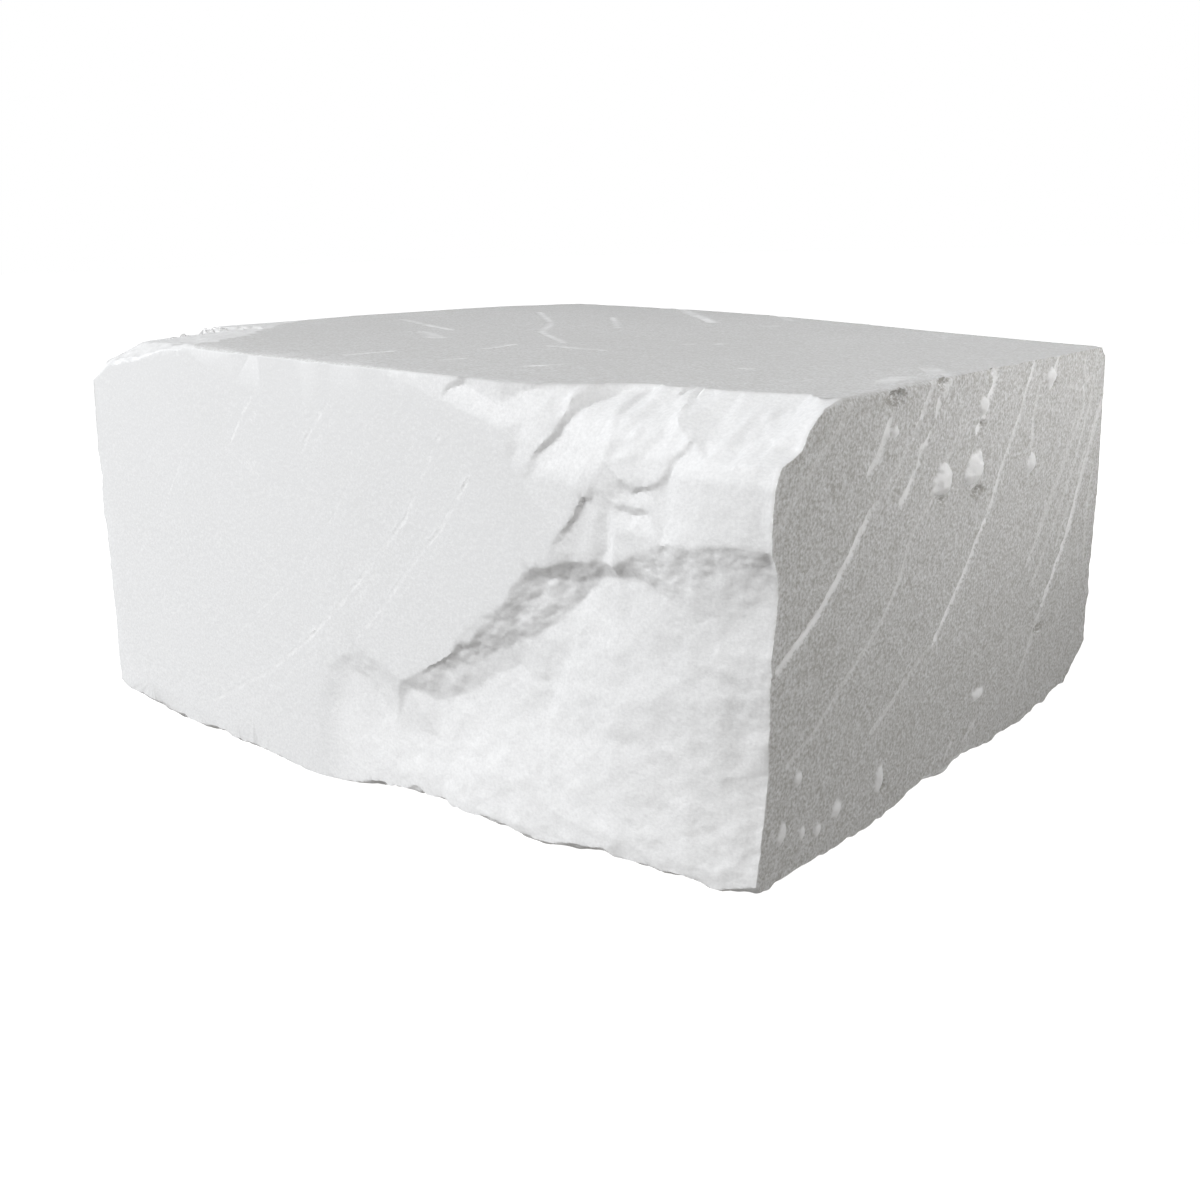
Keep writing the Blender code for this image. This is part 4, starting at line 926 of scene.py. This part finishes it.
def dry_chalk():
    """White chalk: dusty where it was sawn, whiter where it is freshly broken or scored, with painted
    shade in the hollows, painted light low on the front and break, and a painted highlight on the crumbs.
    """
    material = bpy.data.materials.new("dry_chalk")
    finish = Finish(material, "Principled BSDF")
    place = finish.add("ShaderNodeTexCoord", {}, {}, output="Object")
    fresh_and_painted_light, dust_and_shade = finish.attribute("fresh_and_painted_light"), finish.attribute("dust_and_shade")
    across_mark, mark_white = finish.attribute("across_mark"), finish.attribute("mark_white")
    clouds = finish.noise(place, CLOUDS, 3.0) * 0.2
    speckles = finish.noise(place, SPECKLES, 2.0, 0.6)
    powder = finish.noise(place, POWDER, 4.0, 0.65)
    pores = finish.noise(place, PORES, 2.0)
    mark = (1.8 - abs(across_mark) + powder * 4.5).clipped() * mark_white
    spots = speckles * 2.5 + pores * 0.5 + 0.5
    dusted_and_shaded = (dust_and_shade * spots + clouds).clipped()
    whiter = (fresh_and_painted_light + mark + clouds + speckles * 1.6 * (1 - dust_and_shade)).clipped()
    # The dusty colour also paints shade in the hollows, and the fresh colour paints light and highlights.
    colour = finish.mixed(whiter, finish.mixed(dusted_and_shaded, CHALK_CLEAN, CHALK_DUSTY_AND_SHADED), CHALK_FRESH_AND_PAINTED_LIGHT)
    height = (powder * 0.6 + pores * 0.4 + 0.5) * (dust_and_shade * 0.5 + 0.45)
    grain = {"Height": height, "Strength": 1.0, "Distance": GRAIN_HEIGHT}
    normal = finish.add("ShaderNodeBump", {}, grain)
    finish.fill(finish.shader, {"Base Color": colour, "Normal": normal})
    finish.fill(finish.shader, {"Roughness": 0.95, "Specular IOR Level": 0.15})
    return material


def pale_floor():
    """Matte and pale, and bright enough in itself to show no edge against the backdrop."""
    material = bpy.data.materials.new("pale_floor")
    finish = Finish(material, "Principled BSDF")
    finish.fill(finish.shader, {"Base Color": FLOOR_COLOUR, "Roughness": 0.9, "Specular IOR Level": 0.0})
    finish.fill(finish.shader, {"Emission Color": WHITE, "Emission Strength": FLOOR_GLOW})
    return material


def camera():
    lens = bpy.data.cameras.new("camera")
    lens.lens, lens.sensor_width, lens.clip_start = LENS, SENSOR, NEAREST_SEEN
    eye = bpy.data.objects.new("camera", lens)
    bpy.context.scene.collection.objects.link(eye)
    turn = Matrix.Rotation(math.radians(CAMERA_TURN), 4, "Z")
    turn = turn @ Matrix.Rotation(math.radians(90 - CAMERA_DIP), 4, "X")
    turn = turn @ Matrix.Rotation(math.radians(CAMERA_ROLL), 4, "Z")
    eye.matrix_world = Matrix.Translation(Vector(CAMERA_PLACE) * MM) @ turn
    bpy.context.scene.camera = eye


def lamp(name, place, aim, size, watts, spread, colour):
    """One soft box that looks at a point."""
    light = bpy.data.lights.new(name, "AREA")
    light.shape = "RECTANGLE"
    light.size, light.size_y = size[0] * MM, size[1] * MM
    light.energy, light.color, light.spread = watts, colour, math.radians(spread)
    box = bpy.data.objects.new(name, light)
    bpy.context.scene.collection.objects.link(box)
    box.location = Vector(place) * MM
    box.rotation_euler = (Vector(aim) - Vector(place)).to_track_quat("-Z", "Y").to_euler()


def floor():
    """A plain floor that throws no light back at the block."""
    corners = [(-1, -1, 0), (1, -1, 0), (1, 1, 0), (-1, 1, 0)]
    mesh = bpy.data.meshes.new("floor")
    mesh.from_pydata([Vector(corner) * FLOOR_REACH for corner in corners], [], [(0, 1, 2, 3)])
    mesh.materials.append(pale_floor())
    plate = bpy.data.objects.new("floor", mesh)
    plate.location.z = -FLOOR_DROP
    plate.visible_diffuse = False
    bpy.context.scene.collection.objects.link(plate)


def room():
    """Soft light from all round, a little brighter from above, and a white backdrop."""
    world = bpy.data.worlds.new("room")
    bpy.context.scene.world = world
    finish = Finish(world, "Background")
    direction = finish.add("ShaderNodeTexCoord", {}, {}, output="Generated")
    upward = finish.add("ShaderNodeSeparateXYZ", {}, {0: direction}, output="Z")
    light = finish.add("ShaderNodeValToRGB", {"stops": ROOM_LIGHT}, {0: upward * 0.5 + 0.5})
    backdrop = finish.add("ShaderNodeLightPath", {}, {}, output="Is Camera Ray")
    finish.fill(finish.shader, {"Color": finish.mixed(backdrop, light, WHITE)})


surface = block_piece(dry_chalk())
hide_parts(NODE)
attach(surface, "root")
camera()
floor()
room()
for soft_box in LAMPS:
    lamp(*soft_box)
bpy.context.scene.view_settings.view_transform = "Standard"
